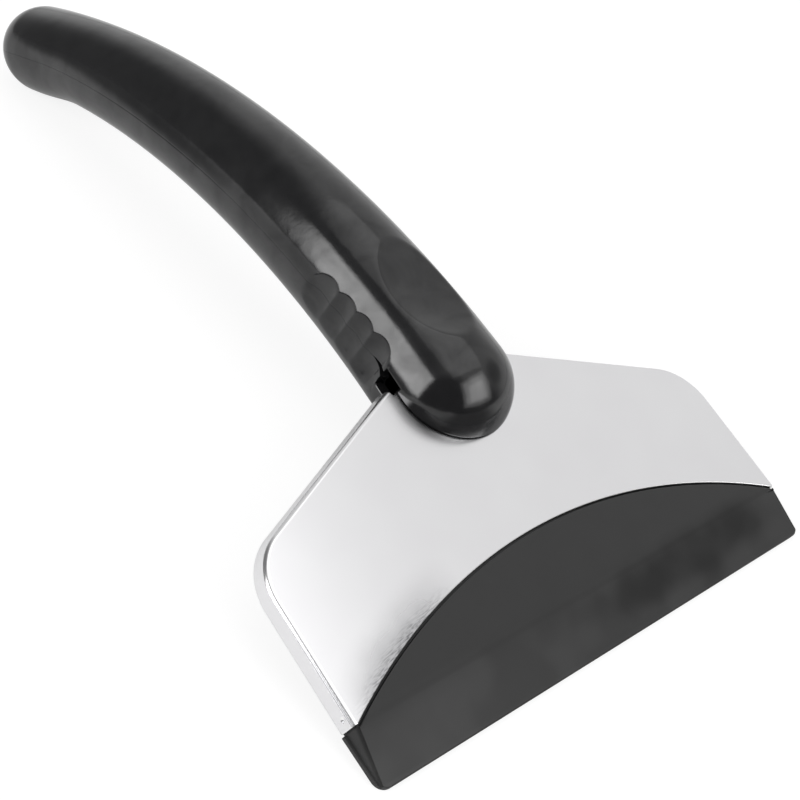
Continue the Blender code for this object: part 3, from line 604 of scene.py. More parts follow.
def handle_rows(side):
    """Distances along the arch for the rows of a shell."""
    open_nose = max(joint_lift(-NOSE_LENGTH, side), 0) / NOSE_HALF_HEIGHT if side > 0 else 0.0
    tip = acos(open_nose)
    nose = [-NOSE_LENGTH * sin(tip * (1 - step / DOME_STEPS)) for step in range(DOME_STEPS)]
    stops = [0.0, DETAIL_END]
    stops += [NOTCH_START, NOTCH_START + SLIT_STEP, NOTCH_END - SLIT_STEP, NOTCH_END, SLIT_END]
    for number in range(RIPPLES + 1):
        stops += beside(arch_distance(RIPPLE_FRONT_Y + number * RIPPLE_PITCH))
    if side > 0:
        for end in (-0.5, 0.5):
            stops += beside(DISH_DISTANCE + end * DISH_LENGTH)
    body = fill_in(sorted(stops), DETAIL_STEP)
    body = body[:-1] + fill_in([body[-1], ARCH_LENGTH], BODY_STEP)
    tail_radius = TAIL_HALF_HEIGHT + TAIL_SWELL
    open_tail = (PARTING_RISE_TAIL + TAIL_SWELL + PARTING_GAP / 2) / tail_radius if side > 0 else 0.0
    tip = acos(open_tail)
    tail = [ARCH_LENGTH + TAIL_ROUND * sin(tip * (step + 1) / DOME_STEPS) for step in range(DOME_STEPS)]
    return nose + body + tail


def handle_columns(zones):
    """Columns from the middle line to the joint: each zone is one unit wide and so many mm long."""
    stops = [0.0]
    for number, width in enumerate(zones):
        stops += [number + step / width for step in NEAR if number] + [number + 1.0]
        stops += [number + 1 - step / width for step in NEAR]
    columns = [0.0]
    for number, width in enumerate(zones):
        own = sorted(stop for stop in stops if number <= stop <= number + 1)
        columns += fill_in(own, COLUMN_STEP / width)[1:]
    return columns


print(len(handle_rows(1)), "rows along the upper shell")

# %% [markdown]
# The dish's rim is found for every direction from its middle: walking outwards, it is the place where
# the tube gets lower than the dish. The search halves its interval again and again.

# %% The rim of the dish
RIM_OUTER = 1.5
RIM_SEARCH = (0.5, 1.6)
HALVINGS = 24


def dish_rim(direction):
    """How far the rim lies in a direction, as a share of the nominal oval."""
    near, far = RIM_SEARCH
    for _ in range(HALVINGS):
        middle = (near + far) / 2
        arc = DISH_ARC * middle * sin(direction)
        distance = DISH_DISTANCE + DISH_LENGTH / 2 * middle * cos(direction)
        local = DISH_FRAME_BACK @ skin(arc / CROWN, distance)
        if local.z > dish_height(local.x, local.y):
            near = middle
        else:
            far = middle
    return near


def pull_to_dish(angle, distance, column, row):
    """Moves a point of the crown's grid on to its ring round the dish."""
    across = column
    lengthways = (row - DISH_DISTANCE) / (DISH_LENGTH / 2)
    ring = max(abs(across), abs(lengthways))
    if ring >= RIM_OUTER or ring == 0:
        return angle, distance
    direction = atan2(across, lengthways)
    reach = ring * dish_rim(direction)
    ring_angle = DISH_ARC * reach * sin(direction) / CROWN
    ring_distance = DISH_DISTANCE + DISH_LENGTH / 2 * reach * cos(direction)
    plain = ease((ring - 1) / (RIM_OUTER - 1))
    return (ring_angle + (angle - ring_angle) * plain,
            ring_distance + (distance - ring_distance) * plain)


print("dish rim at the side and at the ends:", round(dish_rim(pi / 2), 3), round(dish_rim(0), 3))

# %% [markdown]
# A grid is flat and even, so its own coordinates serve as numbers: they say which column and row a
# point belongs to. The point then moves to its place on the handle.

# %% From the grid to the handle
SKEW_END = 62.0
CREASE_OFF_JOINT = radians(4)
CREASE_RUNOUT = 5.0
SHELL_MERGE = 0.004
UPPER_ZONES = (DISH_ARC, 6.4, 6.0)


def joint_from_middle(distance, side):
    """The angle of the joint edge from the shell's own middle line, crown or keel."""
    angle = joint_angle(distance, side)
    return angle if side > 0 else pi - angle


def crease_angle(distance, side):
    """Angle from the middle line, crown or keel, at which the ripple border runs."""
    radius = OVAL_RATIO * half_height(distance)
    y = upright(distance).translation.y
    limit = joint_from_middle(distance, side) - CREASE_OFF_JOINT
    inside = min(max(y, RIPPLE_FRONT_Y), RIPPLE_REAR_Y)
    cut = min(asin(min(ripple_x(inside) / radius, 1.0)), limit)
    return cut + (min(CREASE_ANGLE, limit) - cut) * ease(abs(y - inside) / CREASE_RUNOUT)


def zone_angles(distance, side, breaks):
    """Angles from the middle line to the joint at which the zones of columns end."""
    joint = joint_from_middle(distance, side)
    body = min(max(distance, 0.0), ARCH_LENGTH)
    share = joint / joint_from_middle(body, side) if body != distance else 1.0
    inner = [angle * share for angle in breaks]
    return [0.0] + inner + [crease_angle(body, side) * share, joint]


def skewed(distance, lift):
    """Rows stand square to the steel where the ripples are, not square to the arch."""
    bend = max(distance, 0) / ARCH_RADIUS
    return distance - lift * tan(bend) * (1 - ease((distance - DETAIL_END) / (SKEW_END - DETAIL_END)))


def place_on_handle(column, row, side, breaks):
    """The carved point for a column and a row, and its distance from the joint edge in mm."""
    angles = zone_angles(row, side, breaks)
    zone = min(int(column), len(angles) - 2)
    angle = angles[zone] + (angles[zone + 1] - angles[zone]) * (column - zone)
    to_joint = (angles[-1] - angle) * half_height(row)
    if side < 0:
        angle = pi - angle
    lift = half_height(row) * cos(angle)
    distance = skewed(row, lift) if 0 < row < SKEW_END else row
    if side > 0:
        angle, distance = pull_to_dish(angle, distance, column, row)
    point = skin(angle, distance)
    lift = half_height(distance) * cos(angle)
    point = carve_ripples(point, lift)
    if side > 0:
        point = carve_dish(point)
    return point, to_joint


def make_shell(side, zones, breaks):
    """The outer skin of one shell, and the layer that says how far each vertex is from the joint."""
    columns, rows = handle_columns(zones), handle_rows(side)
    shape = bmesh.new()
    bmesh.ops.create_grid(shape, x_segments=len(columns) - 1, y_segments=len(rows) - 1, size=0.5)
    gap = shape.verts.layers.float.new("to_joint")
    for vert in shape.verts:
        column = columns[round((vert.co.x + 0.5) * (len(columns) - 1))]
        row = rows[round((vert.co.y + 0.5) * (len(rows) - 1))]
        point, to_joint = place_on_handle(column, row, side, breaks)
        vert.co = point
        vert[gap] = to_joint
    bmesh.ops.remove_doubles(shape, verts=shape.verts, dist=SHELL_MERGE)
    mirror_half(shape, SHELL_MERGE)
    bmesh.ops.recalc_face_normals(shape, faces=shape.faces)
    return shape, gap


print(len(handle_columns(UPPER_ZONES)), "columns on each side of the upper shell")

# %% [markdown]
# The wall gets its thickness with an extrusion of all the faces: the copy moves inwards along the
# normals, and the sides that the extrusion makes are the joint faces. The outer edge of the joint is
# then rolled over a little, more at the steel than along the parting line.

# %% The wall and the joint's rolled edge
WALL = 2.2
SEAT_EDGE = 0.15
PARTING_EDGE = 0.03
ROLL_CHANGE = 2.0


def roll_radius(y):
    """Radius of the joint's rolled edge: wide at the steel and fine along the parting line."""
    seat_end = NOSE_CENTRE_Y + NOTCH_END
    return PARTING_EDGE + (SEAT_EDGE - PARTING_EDGE) * (1 - ease((y - seat_end) / ROLL_CHANGE + 0.5))


def thicken(shape, gap):
    """Gives the open shell its wall and rolls the outer edges of its joint."""
    number = shape.verts.layers.int.new("number")
    outer = shape.verts[:]
    normals = []
    for index, vert in enumerate(outer):
        vert[number] = index
        normals.append(vert.normal.copy())
    made = bmesh.ops.extrude_face_region(shape, geom=shape.faces[:], use_keep_orig=True)["geom"]
    for item in made:
        if isinstance(item, bmesh.types.BMVert):
            item.co -= normals[item[number]] * WALL
    for vert in outer:
        radius = roll_radius(vert.co.y)
        if vert[gap] < radius:
            vert.co -= normals[vert[number]] * (radius - sqrt(radius ** 2 - (radius - vert[gap]) ** 2))
    bmesh.ops.recalc_face_normals(shape, faces=shape.faces)


shape, gap = make_shell(1, UPPER_ZONES, [DISH_ARC / CROWN])
thicken(shape, gap)
finish_piece(shape, "upper_shell", abs_black, "handle_plastic", "handle_upper_shell")

# %% [markdown]
# The lower shell has no dish. It is made in the same way, from the keel up to the joint.

# %% Lower shell
LOWER_ZONES = (16.0, 6.0)

shape, gap = make_shell(-1, LOWER_ZONES, [])
thicken(shape, gap)
lower_shell = finish_piece(shape, "lower_shell", abs_black, "handle_plastic", "handle_lower_shell")

# %% [markdown]
# ## Screw holes
# Four screws go in from below. Inside the lower shell a column stands round each of them, and its end
# has to follow the wall: a disc is drawn, its vertices are sent to the middle of the wall, and the disc
# is pulled up to the joint. A stepped cutter, spun from a half section, then makes the deep round hole
# for the screw's head and the narrow one for its shank.

# %% Columns and cutters
COLUMN_RADIUS = 5.0
COLUMN_INSET = 0.4 * COLUMN_RADIUS
COLUMN_MERGE = 0.0005
SEAT_BELOW_PARTING = 4.5
SCREW_ROOM = 0.3
BELOW = -30.0
ROUND_STEPS = 48
CLAMP_SCREW = (1.75, 3.3)
GRIP_SCREW = (1.5, 2.9)
SCREW_PLACES = ((-7.2, CLAMP_SCREW), (9.3, CLAMP_SCREW), (58.0, GRIP_SCREW), (132.0, GRIP_SCREW))


def mid_wall(x, distance):
    """Height below the axis at which the middle of the lower wall lies."""
    radius = half_height(distance) - WALL / 2
    return -radius * sqrt(max(1 - (x / (OVAL_RATIO * radius)) ** 2, 0.0)) - swell(distance)


def column_shape(shape, distance):
    """Adds a column that stands on the lower wall and ends just below the joint."""
    top = joint_lift(min(distance, 0.0) if distance < SLIT_END else distance, -1)
    made = bmesh.ops.create_circle(shape, cap_ends=True, radius=COLUMN_RADIUS, segments=ROUND_STEPS)
    disc = made["verts"]
    face = disc[0].link_faces[0]
    bmesh.ops.inset_individual(shape, faces=[face], thickness=COLUMN_INSET)
    faces = list(dict.fromkeys([face for vert in disc for face in vert.link_faces] + [face]))
    made = bmesh.ops.extrude_face_region(shape, geom=faces, use_keep_orig=True)["geom"]
    upper = [item for item in made if isinstance(item, bmesh.types.BMVert)]
    lower = {vert for face in faces for vert in face.verts}
    for vert in upper:
        vert.co.z = top
    for vert in lower:
        vert.co.z = mid_wall(vert.co.x, distance + vert.co.y)
    bmesh.ops.transform(shape, matrix=upright(distance), verts=upper + list(lower))


def cutter_shape(shape, distance, shank, head):
    """Adds the stepped round cutter of one screw."""
    seat = parting_lift(distance) - SEAT_BELOW_PARTING - SCREW_ROOM
    section = [(0, BELOW), (head + SCREW_ROOM, BELOW), (head + SCREW_ROOM, seat),
               (shank + SCREW_ROOM, seat), (shank + SCREW_ROOM, COLUMN_RADIUS), (0, COLUMN_RADIUS)]
    verts = [shape.verts.new((x, 0, z)) for x, z in section]
    edges = [shape.edges.new(pair) for pair in zip(verts[:-1], verts[1:])]
    bmesh.ops.spin(shape, geom=verts + edges, cent=(0, 0, 0), axis=(0, 0, 1), angle=2 * pi,
                   steps=ROUND_STEPS, use_merge=True)
    verts = [vert for vert in shape.verts if not vert.tag]
    bmesh.ops.transform(shape, matrix=upright(distance), verts=verts)
    for vert in verts:
        vert.tag = True


columns = bmesh.new()
cutters = bmesh.new()
for distance, (shank, head) in SCREW_PLACES:
    column_shape(columns, distance)
    cutter_shape(cutters, distance, shank, head)
for shape in (columns, cutters):
    bmesh.ops.remove_doubles(shape, verts=shape.verts, dist=COLUMN_MERGE)
    bmesh.ops.recalc_face_normals(shape, faces=shape.faces)
print("columns of", len(columns.faces), "faces, cutters of", len(cutters.faces))

# %% [markdown]
# Two Boolean modifiers join the columns and cut the holes. Their result becomes the piece's own mesh,
# so that no helper object is left in the scene.

# %% Join and cut
helpers = []
for shape, operation in ((columns, "UNION"), (cutters, "DIFFERENCE")):
    bmesh.ops.transform(shape, matrix=FROM_MM, verts=shape.verts)
    mesh = bpy.data.meshes.new("helper")
    shape.to_mesh(mesh)
    shape.free()
    helper = bpy.data.objects.new("helper", mesh)
    bpy.context.scene.collection.objects.link(helper)
    helpers.append(helper)
    step = lower_shell.modifiers.new(operation.lower(), "BOOLEAN")
    step.operation = operation
    step.solver = "EXACT"
    step.object = helper
graph = bpy.context.evaluated_depsgraph_get()
mesh = bpy.data.meshes.new_from_object(lower_shell.evaluated_get(graph))
mesh.set_sharp_from_angle(angle=SHARP)
lower_shell.modifiers.clear()
lower_shell.data = mesh
for helper in helpers:
    bpy.data.objects.remove(helper)
print("lower shell with holes has", len(mesh.polygons), "faces")

# %% [markdown]
# ## Steel head
# The head is cut from sheet, and its sides and rear edges are folded down. Only half of it is drawn,
# from the middle to the right, and then mirrored. The arcs are spun from one vertex, the rim is
# extruded from the outline, and a bevel rounds the fold.

# %% The outline of the steel
HEAD_FRONT_WIDTH = 134.3
HEAD_CORNER_WIDTH = 133.7
HEAD_APEX_Y = 74.5
REAR_EDGE_ANGLE = radians(23.3)
HEAD_CORNER_RADIUS = 13.0
RIM_DROP = 3.7
RIM_DRAFT = radians(12.0)
RIM_TOE_RADIUS = 0.4
BEND_OFFSET = 0.88
ARC_END_INSET = 1.0
ARC_RADIUS = 139.8
ARC_APEX_Y = 28.4
TONGUE_WIDTH = 18.0
TONGUE_LENGTH = 6.5
RIM_RELIEF = 1.6
RIM_OFF_HANDLE = 1.2
RIM_END_X = NOSE_HALF_HEIGHT * OVAL_RATIO + RIM_OFF_HANDLE


def side_x(y):
    """Half width of the steel where its side fold would be sharp."""
    corner_y = HEAD_APEX_Y - HEAD_CORNER_WIDTH / 2 * tan(REAR_EDGE_ANGLE)
    return HEAD_FRONT_WIDTH / 2 - (HEAD_FRONT_WIDTH - HEAD_CORNER_WIDTH) / 2 * y / corner_y


def rear_y(x):
    """Where the slanting rear edge lies, so far from the middle."""
    return HEAD_APEX_Y - x * tan(REAR_EDGE_ANGLE)


def arc_y(x, radius):
    """Where an arc round the centre of the steel's arc lies, so far from the middle."""
    return ARC_APEX_Y - ARC_RADIUS + sqrt(radius ** 2 - x ** 2)


RIM_FRONT_Y = arc_y(side_x(0) - ARC_END_INSET, ARC_RADIUS)


def add_line(shape, start, points):
    """Runs straight edges from a vertex through some points, and gives the last vertex."""
    for x, y in points:
        vert = shape.verts.new((x, y, 0))
        shape.edges.new((start, vert))
        start = vert
    return start


def add_arc(shape, start, centre, angle, steps):
    """Spins a vertex round a centre, and gives the last vertex."""
    made = bmesh.ops.spin(shape, geom=[start], cent=(*centre, 0), axis=(0, 0, 1), angle=angle,
                          steps=steps, use_merge=False)
    return next(item for item in made["geom_last"] if isinstance(item, bmesh.types.BMVert))


print("rim starts", round(RIM_FRONT_Y, 2), "mm behind the scraping edge")

# %% [markdown]
# ## Stainless steel sheet
# The head is cold rolled stainless sheet. The rolled surface is satin: it mirrors broad light and
# shade, but blurs everything small. The rolls leave a grain of fine lines along X, too fine to show
# here, so it is drawn a few times coarser, by squeezing a noise along X.

# %% Material: satin stainless steel, as rolled
STEEL_BRIGHT = "#F1F1F2"
STEEL_CLOUD = "#EBEAEC"
STEEL_CLOUD_SIZE = 14.0 * MM
GRAIN_LINE = 0.25 * MM
GRAIN_DEPTH = 0.02 * MM
GRAIN_SQUEEZE = (0.04, 1, 1)

steel, tree = new_material("stainless_satin")
place = add_node(tree, "ShaderNodeTexCoord").outputs["Object"]
sheet_place = add_node(tree, "ShaderNodeMapping", {"Vector": place, **AT_EDGE}, vector_type="TEXTURE")
across = add_node(tree, "ShaderNodeSeparateXYZ", {"Vector": sheet_place})
cloud = add_node(tree, "ShaderNodeTexNoise", {"Vector": place, "Scale": 1 / STEEL_CLOUD_SIZE,
                                              "Detail": 2.0})
clean = add_node(tree, "ShaderNodeMix", {"Factor": cloud, "A": linear(STEEL_BRIGHT),
                                         "B": linear(STEEL_CLOUD)}, data_type="RGBA")
along_rolls = add_node(tree, "ShaderNodeMapping", {"Vector": sheet_place, "Scale": GRAIN_SQUEEZE})
grain = add_node(tree, "ShaderNodeTexNoise", {"Vector": along_rolls, "Scale": 1 / GRAIN_LINE,
                                              "Detail": 2.0})
lines = add_node(tree, "ShaderNodeBump", {"Height": grain, "Strength": 0.03, "Distance": GRAIN_DEPTH})
print("rolled grain drawn", round(GRAIN_LINE / MM, 2), "mm wide")

# %% [markdown]
# Towards the front, where the rim is pressed on to the blade, the fold gets a painted shade: a normal
# that is turned from the face, but not yet as far as the rim's, gets a darker grey there. Faces that
# look forwards, such as the sheared edge along the arc, get a painted highlight of white.

# %% Painted shade on the fold and painted highlight on the sheared edge
STEEL_FOLD_SHADE = "#8E8E90"
STEEL_EDGE_HIGHLIGHT = "#FFFFFF"
FOLD_TURNED = {"From Min": 0.80, "From Max": 0.68}
RIM_TURNED = {"From Min": 0.34, "From Max": 0.46}
PRESSED_FROM_Y = 45.0 * MM
PRESSED_FULL_Y = 28.0 * MM

normal = add_node(tree, "ShaderNodeNewGeometry").outputs["Normal"]
facing = add_node(tree, "ShaderNodeVectorMath", {0: normal, 1: up}, operation="DOT_PRODUCT")
bent = add_node(tree, "ShaderNodeMapRange", {"Value": facing, **FOLD_TURNED},
                interpolation_type="SMOOTHSTEP")
before_rim = add_node(tree, "ShaderNodeMapRange", {"Value": facing, **RIM_TURNED},
                      interpolation_type="SMOOTHSTEP")
pressed = add_node(tree, "ShaderNodeMapRange", {"Value": across.outputs["Y"],
                                                "From Min": PRESSED_FROM_Y, "From Max": PRESSED_FULL_Y},
                   interpolation_type="SMOOTHSTEP")
# Painted shade: the fold is painted darker towards the front.
fold_shade_mask = add_node(tree, "ShaderNodeMath", {0: bent, 1: before_rim}, operation="MULTIPLY")
fold_shade_mask = add_node(tree, "ShaderNodeMath", {0: fold_shade_mask, 1: pressed}, operation="MULTIPLY")
steel_with_painted_light = add_node(tree, "ShaderNodeMix", {"Factor": fold_shade_mask, "A": clean,
                                          "B": linear(STEEL_FOLD_SHADE)}, data_type="RGBA")
# Painted highlight: faces that look forwards are painted white.
to_front = add_node(tree, "ShaderNodeVectorMath", {0: normal, 1: -along}, operation="DOT_PRODUCT")
painted_edge_highlight = add_node(tree, "ShaderNodeMapRange", {"Value": to_front, "From Min": 0.05, "From Max": 0.25})
steel_with_painted_light = add_node(tree, "ShaderNodeMix", {"Factor": painted_edge_highlight, "A": steel_with_painted_light, "B": linear(STEEL_EDGE_HIGHLIGHT)},
                  data_type="RGBA")
print("fold_painted_shade from", round(PRESSED_FROM_Y / MM), "mm behind the scraping edge forwards")

# %% [markdown]
# Along the left of the arc the tool has been handled, and there the steel also gets a painted shade, a
# darker reflection painted into its colour. A soft, patchy grey smear, handling marks and painted shade
# together, fades out 10 mm behind the arc. It is measured from the arc's centre, and it is shorter than
# the arc.

# %% The smear, with painted shade
SMEAR_REACH = 10.0 * MM
SMEAR_MIDDLE_X = -49.0 * MM
SMEAR_HALF_LENGTH = 21.0 * MM
SMEAR_BLOTCH = 7.0 * MM
ARC_CENTRE = (0, (ARC_APEX_Y - ARC_RADIUS) * MM, 0)

from_centre = add_node(tree, "ShaderNodeVectorMath", {0: sheet_place, 1: ARC_CENTRE},
                       operation="DISTANCE")
near_arc = add_node(tree, "ShaderNodeMapRange", {"Value": from_centre, "From Min": ARC_RADIUS * MM,
                                                 "From Max": ARC_RADIUS * MM + SMEAR_REACH,
                                                 "To Min": 1.0, "To Max": 0.0},
                    interpolation_type="SMOOTHERSTEP")
off_middle = add_node(tree, "ShaderNodeMath", {0: across.outputs["X"], 1: SMEAR_MIDDLE_X},
                      operation="SUBTRACT")
off_middle = add_node(tree, "ShaderNodeMath", {0: off_middle}, operation="ABSOLUTE")
in_length = add_node(tree, "ShaderNodeMapRange", {"Value": off_middle,
                                                  "From Min": SMEAR_HALF_LENGTH / 4,
                                                  "From Max": SMEAR_HALF_LENGTH,
                                                  "To Min": 1.0, "To Max": 0.0},
                     interpolation_type="SMOOTHSTEP")
blotches = add_node(tree, "ShaderNodeTexNoise", {"Vector": sheet_place, "Scale": 1 / SMEAR_BLOTCH,
                                                 "Detail": 1.0})
patchy = add_node(tree, "ShaderNodeMapRange", {"Value": blotches, "From Min": 0.25, "From Max": 0.75,
                                               "To Min": 0.6, "To Max": 1.0})
# The smear's grey is partly handling marks and partly painted shade.
smear_and_shade = add_node(tree, "ShaderNodeMath", {0: near_arc, 1: in_length}, operation="MULTIPLY")
smear_and_shade = add_node(tree, "ShaderNodeMath", {0: smear_and_shade, 1: patchy}, operation="MULTIPLY")
print("smear_and_shade", round(2 * SMEAR_HALF_LENGTH / MM), "mm long")

# %% [markdown]
# Short oblique scratches lie close to the arc, in the same stretch. They are a noise that is turned and
# drawn out. The smear and the strokes are added, not compared, because the larger of two masks would
# show a line where they cross.

# %% The strokes, and the finished steel
STEEL_SMEAR_AND_SHADE = "#747476"
SMEAR_SHARE = 0.6
STROKE_SHARE = 0.48
STROKE_REACH = 3.4 * MM
SCRATCH_LINE = 0.22 * MM
SCRATCH_TURN = radians(-12)
SCRATCH_DRAW = (0.12, 1, 1)

turned = add_node(tree, "ShaderNodeMapping", {"Vector": sheet_place, "Rotation": (0, 0, SCRATCH_TURN)})
drawn_out = add_node(tree, "ShaderNodeMapping", {"Vector": turned, "Scale": SCRATCH_DRAW})
scratches = add_node(tree, "ShaderNodeTexNoise", {"Vector": drawn_out, "Scale": 1 / SCRATCH_LINE,
                                                  "Detail": 2.0})
strokes = add_node(tree, "ShaderNodeMapRange", {"Value": scratches, "From Min": 0.45, "From Max": 0.62,
                                                "To Min": 0.2, "To Max": 1.0})
at_edge = add_node(tree, "ShaderNodeMapRange", {"Value": from_centre, "From Min": ARC_RADIUS * MM,
                                                "From Max": ARC_RADIUS * MM + STROKE_REACH,
                                                "To Min": STROKE_SHARE, "To Max": 0.0},
                   interpolation_type="SMOOTHSTEP")
stroked = add_node(tree, "ShaderNodeMath", {0: at_edge, 1: strokes}, operation="MULTIPLY")
stroked = add_node(tree, "ShaderNodeMath", {0: stroked, 1: in_length}, operation="MULTIPLY")
# The soft smear is handling marks and painted shade together; the strokes are scratches.
soft = add_node(tree, "ShaderNodeMath", {0: smear_and_shade, 1: SMEAR_SHARE}, operation="MULTIPLY")
handled = add_node(tree, "ShaderNodeMath", {0: stroked, 1: soft}, operation="ADD", use_clamp=True)
colour = add_node(tree, "ShaderNodeMix", {"Factor": handled, "A": steel_with_painted_light, "B": linear(STEEL_SMEAR_AND_SHADE)},
                  data_type="RGBA")
satin = add_node(tree, "ShaderNodeMapRange", {"Value": smear_and_shade, "To Min": 0.20, "To Max": 0.34})
shader = add_node(tree, "ShaderNodeBsdfPrincipled", {"Base Color": colour, "Metallic": 1.0,
                                                     "Roughness": satin, "Normal": lines})
add_node(tree, "ShaderNodeOutputMaterial", {"Surface": shader})
print(len(tree.nodes), "nodes make the satin steel")

# %% [markdown]
# ## The flat sheet
# Half of the sheet is drawn flat: the front corner, the side, the rear corner, the slanting rear edge
# with its relief, the tongue, and back along the arc. The edges that will be folded are remembered.

# %% Folded sheet, one half
CORNER_STEPS = 18
ARC_STEPS = 48
FOLD_STEPS = 10
TAPER_RUN = 100.0


def plate_half():
    """The flat right half as one face, and those of its edges that will be folded."""
    shape = bmesh.new()
    taper = atan2(side_x(0) - side_x(TAPER_RUN), TAPER_RUN)
    corner_turn = pi / 2 - REAR_EDGE_ANGLE - taper
    corner_x = HEAD_CORNER_WIDTH / 2
    middle_angle = taper + corner_turn / 2
    reach = HEAD_CORNER_RADIUS / cos(corner_turn / 2)
    centre = (corner_x - reach * cos(middle_angle), rear_y(corner_x) - reach * sin(middle_angle))
    first = shape.verts.new((side_x(RIM_FRONT_Y), RIM_FRONT_Y, 0))
    start = (centre[0] + HEAD_CORNER_RADIUS * cos(taper), centre[1] + HEAD_CORNER_RADIUS * sin(taper))
    vert = add_line(shape, first, [start])
    vert = add_arc(shape, vert, centre, corner_turn, CORNER_STEPS)
    vert = add_line(shape, vert, [(RIM_END_X, rear_y(RIM_END_X))])
    folds = shape.edges[:]
    inward = Vector((-sin(REAR_EDGE_ANGLE), -cos(REAR_EDGE_ANGLE))) * RIM_RELIEF
    relief = (RIM_END_X + inward.x, rear_y(RIM_END_X) + inward.y)
    root_x = TONGUE_WIDTH / 2
    root_y = relief[1] + (relief[0] - root_x) * tan(REAR_EDGE_ANGLE)
    end_y = HEAD_APEX_Y + TONGUE_LENGTH
    vert = add_line(shape, vert, [relief, (root_x, root_y), (root_x, end_y), (0, end_y)])
    apex = add_line(shape, vert, [(0, ARC_APEX_Y)])
    half_angle = asin((side_x(0) - ARC_END_INSET) / ARC_RADIUS)
    last = add_arc(shape, apex, (0, ARC_APEX_Y - ARC_RADIUS), -half_angle, ARC_STEPS)
    shape.edges.new((last, first))
    bmesh.ops.contextual_create(shape, geom=shape.edges[:])
    return shape, folds


shape, folds = plate_half()
print("half of the steel's outline has", len(shape.verts), "points")

# %% [markdown]
# The rim is the outline's edge pulled down, and outwards by its draft. Each vertex moves along the
# mitre of its two edges, so the rim keeps the same slope round the corner. A bevel rounds the fold.
# Last the flat top is cut into strips, because one large face with an arc for an edge is filled with
# long thin triangles, and those shade badly.

# %% Rim, fold and strips
TOE_STEPS = 6
TOUCHING = 0.001
ON_ARC = 0.01
STRIP_POINTS = 7


def pull_rim(shape, folds):
    """Extrudes the fold edges down along the mitre, and gives the lower vertices."""
    spread = RIM_DROP * tan(RIM_DRAFT)
    middle = Vector((0, HEAD_APEX_Y / 2, 0))
    mitre = {}
    for vert in {vert for edge in folds for vert in edge.verts}:
        normals = []
        for edge in folds:
            if vert in edge.verts:
                line = edge.verts[1].co - edge.verts[0].co
                normal = line.cross(Vector((0, 0, 1))).normalized()
                normals.append(normal if normal.dot(vert.co - middle) > 0 else -normal)
        mean = sum(normals, Vector()).normalized()
        mitre[vert] = mean / mean.dot(normals[0])
    made = bmesh.ops.extrude_edge_only(shape, edges=folds)["geom"]
    lower = [item for item in made if isinstance(item, bmesh.types.BMVert)]
    for vert in lower:
        upper = min(mitre, key=lambda other: (other.co - vert.co).length)
        vert.co = vert.co + mitre[upper] * spread - Vector((0, 0, RIM_DROP))
    return lower


lower = pull_rim(shape, folds)
toe = min(lower, key=lambda vert: vert.co.y)
bmesh.ops.bevel(shape, geom=[toe], offset=RIM_TOE_RADIUS, segments=TOE_STEPS, profile=0.5,
                affect="VERTICES", material=-1)
folds = [edge for edge in shape.edges if edge.is_valid and len(edge.link_faces) == 2
         and all(abs(vert.co.z) < TOUCHING for vert in edge.verts)]
bmesh.ops.bevel(shape, geom=folds, offset=BEND_OFFSET, segments=FOLD_STEPS, profile=0.5,
                affect="EDGES", material=-1)
top = [max(shape.faces, key=lambda face: face.calc_area())]
front = sorted(vert.co.x for vert in top[0].verts
               if vert.co.y < arc_y(vert.co.x, ARC_RADIUS) + ON_ARC)
for x in front[STRIP_POINTS - 1::STRIP_POINTS]:
    made = bmesh.ops.bisect_plane(shape, geom=top + edges_of(top), plane_co=(x, 0, 0),
                                  plane_no=(1, 0, 0), dist=TOUCHING)
    top = [item for item in made["geom"] if isinstance(item, bmesh.types.BMFace)]
print("half of the folded sheet has", len(shape.faces), "faces")

# %% [markdown]
# Near its front the rim is crimped: a punch has pushed a round dimple into it, which holds the blade.
# The rim's flat face is cut round that place, the small square is divided finely and the dent is
# pressed in.

# %% The crimp
CRIMP_SETBACK = 1.9
CRIMP_HEIGHT = 1.4
CRIMP_RADIUS = 0.75
CRIMP_DENT = 0.22
CRIMP_CUTS = 14
CRIMP_SQUARE = 1.1
CRIMP_SQUARE_TOP = 0.5
CRIMP_SPREAD = 1.15
ALIKE = 0.999

crimp_y = RIM_FRONT_Y + CRIMP_SETBACK
crimp = Vector((side_x(crimp_y) + CRIMP_HEIGHT * tan(RIM_DRAFT), crimp_y, -CRIMP_HEIGHT))
outward = Vector((cos(RIM_DRAFT), 0, sin(RIM_DRAFT)))


def on_rim(face):
    """Whether a face lies in the flat of the side rim."""
    return face.normal.dot(outward) > ALIKE


def face_up(shape):
    """Makes the normals agree, and turns the largest face upwards."""
    bmesh.ops.recalc_face_normals(shape, faces=shape.faces)
    if max(shape.faces, key=lambda face: face.calc_area()).normal.z < 0:
        bmesh.ops.reverse_faces(shape, faces=shape.faces)


face_up(shape)
for step, direction in ((CRIMP_SQUARE, (0, 1, 0)), (-CRIMP_SQUARE, (0, 1, 0)),
                        (CRIMP_SQUARE_TOP, (0, 0, 1)), (-CRIMP_SQUARE, (0, 0, 1))):
    rim = [face for face in shape.faces if on_rim(face)]
    bmesh.ops.bisect_plane(shape, geom=rim + edges_of(rim), plane_co=crimp + step * Vector(direction),
                           plane_no=direction, dist=TOUCHING)
square = [face for face in shape.faces if on_rim(face)
          and (face.calc_center_median() - crimp).length < CRIMP_RADIUS]
bmesh.ops.subdivide_edges(shape, edges=edges_of(square), cuts=CRIMP_CUTS, use_grid_fill=True)
for vert in shape.verts:
    away = (vert.co - crimp).length
    if away < 2 * CRIMP_RADIUS:
        vert.co -= outward * CRIMP_DENT * (1 - ease(away / CRIMP_RADIUS / CRIMP_SPREAD))
print("crimp", round(crimp.y, 2), "mm behind the scraping edge, dented", CRIMP_DENT, "mm")

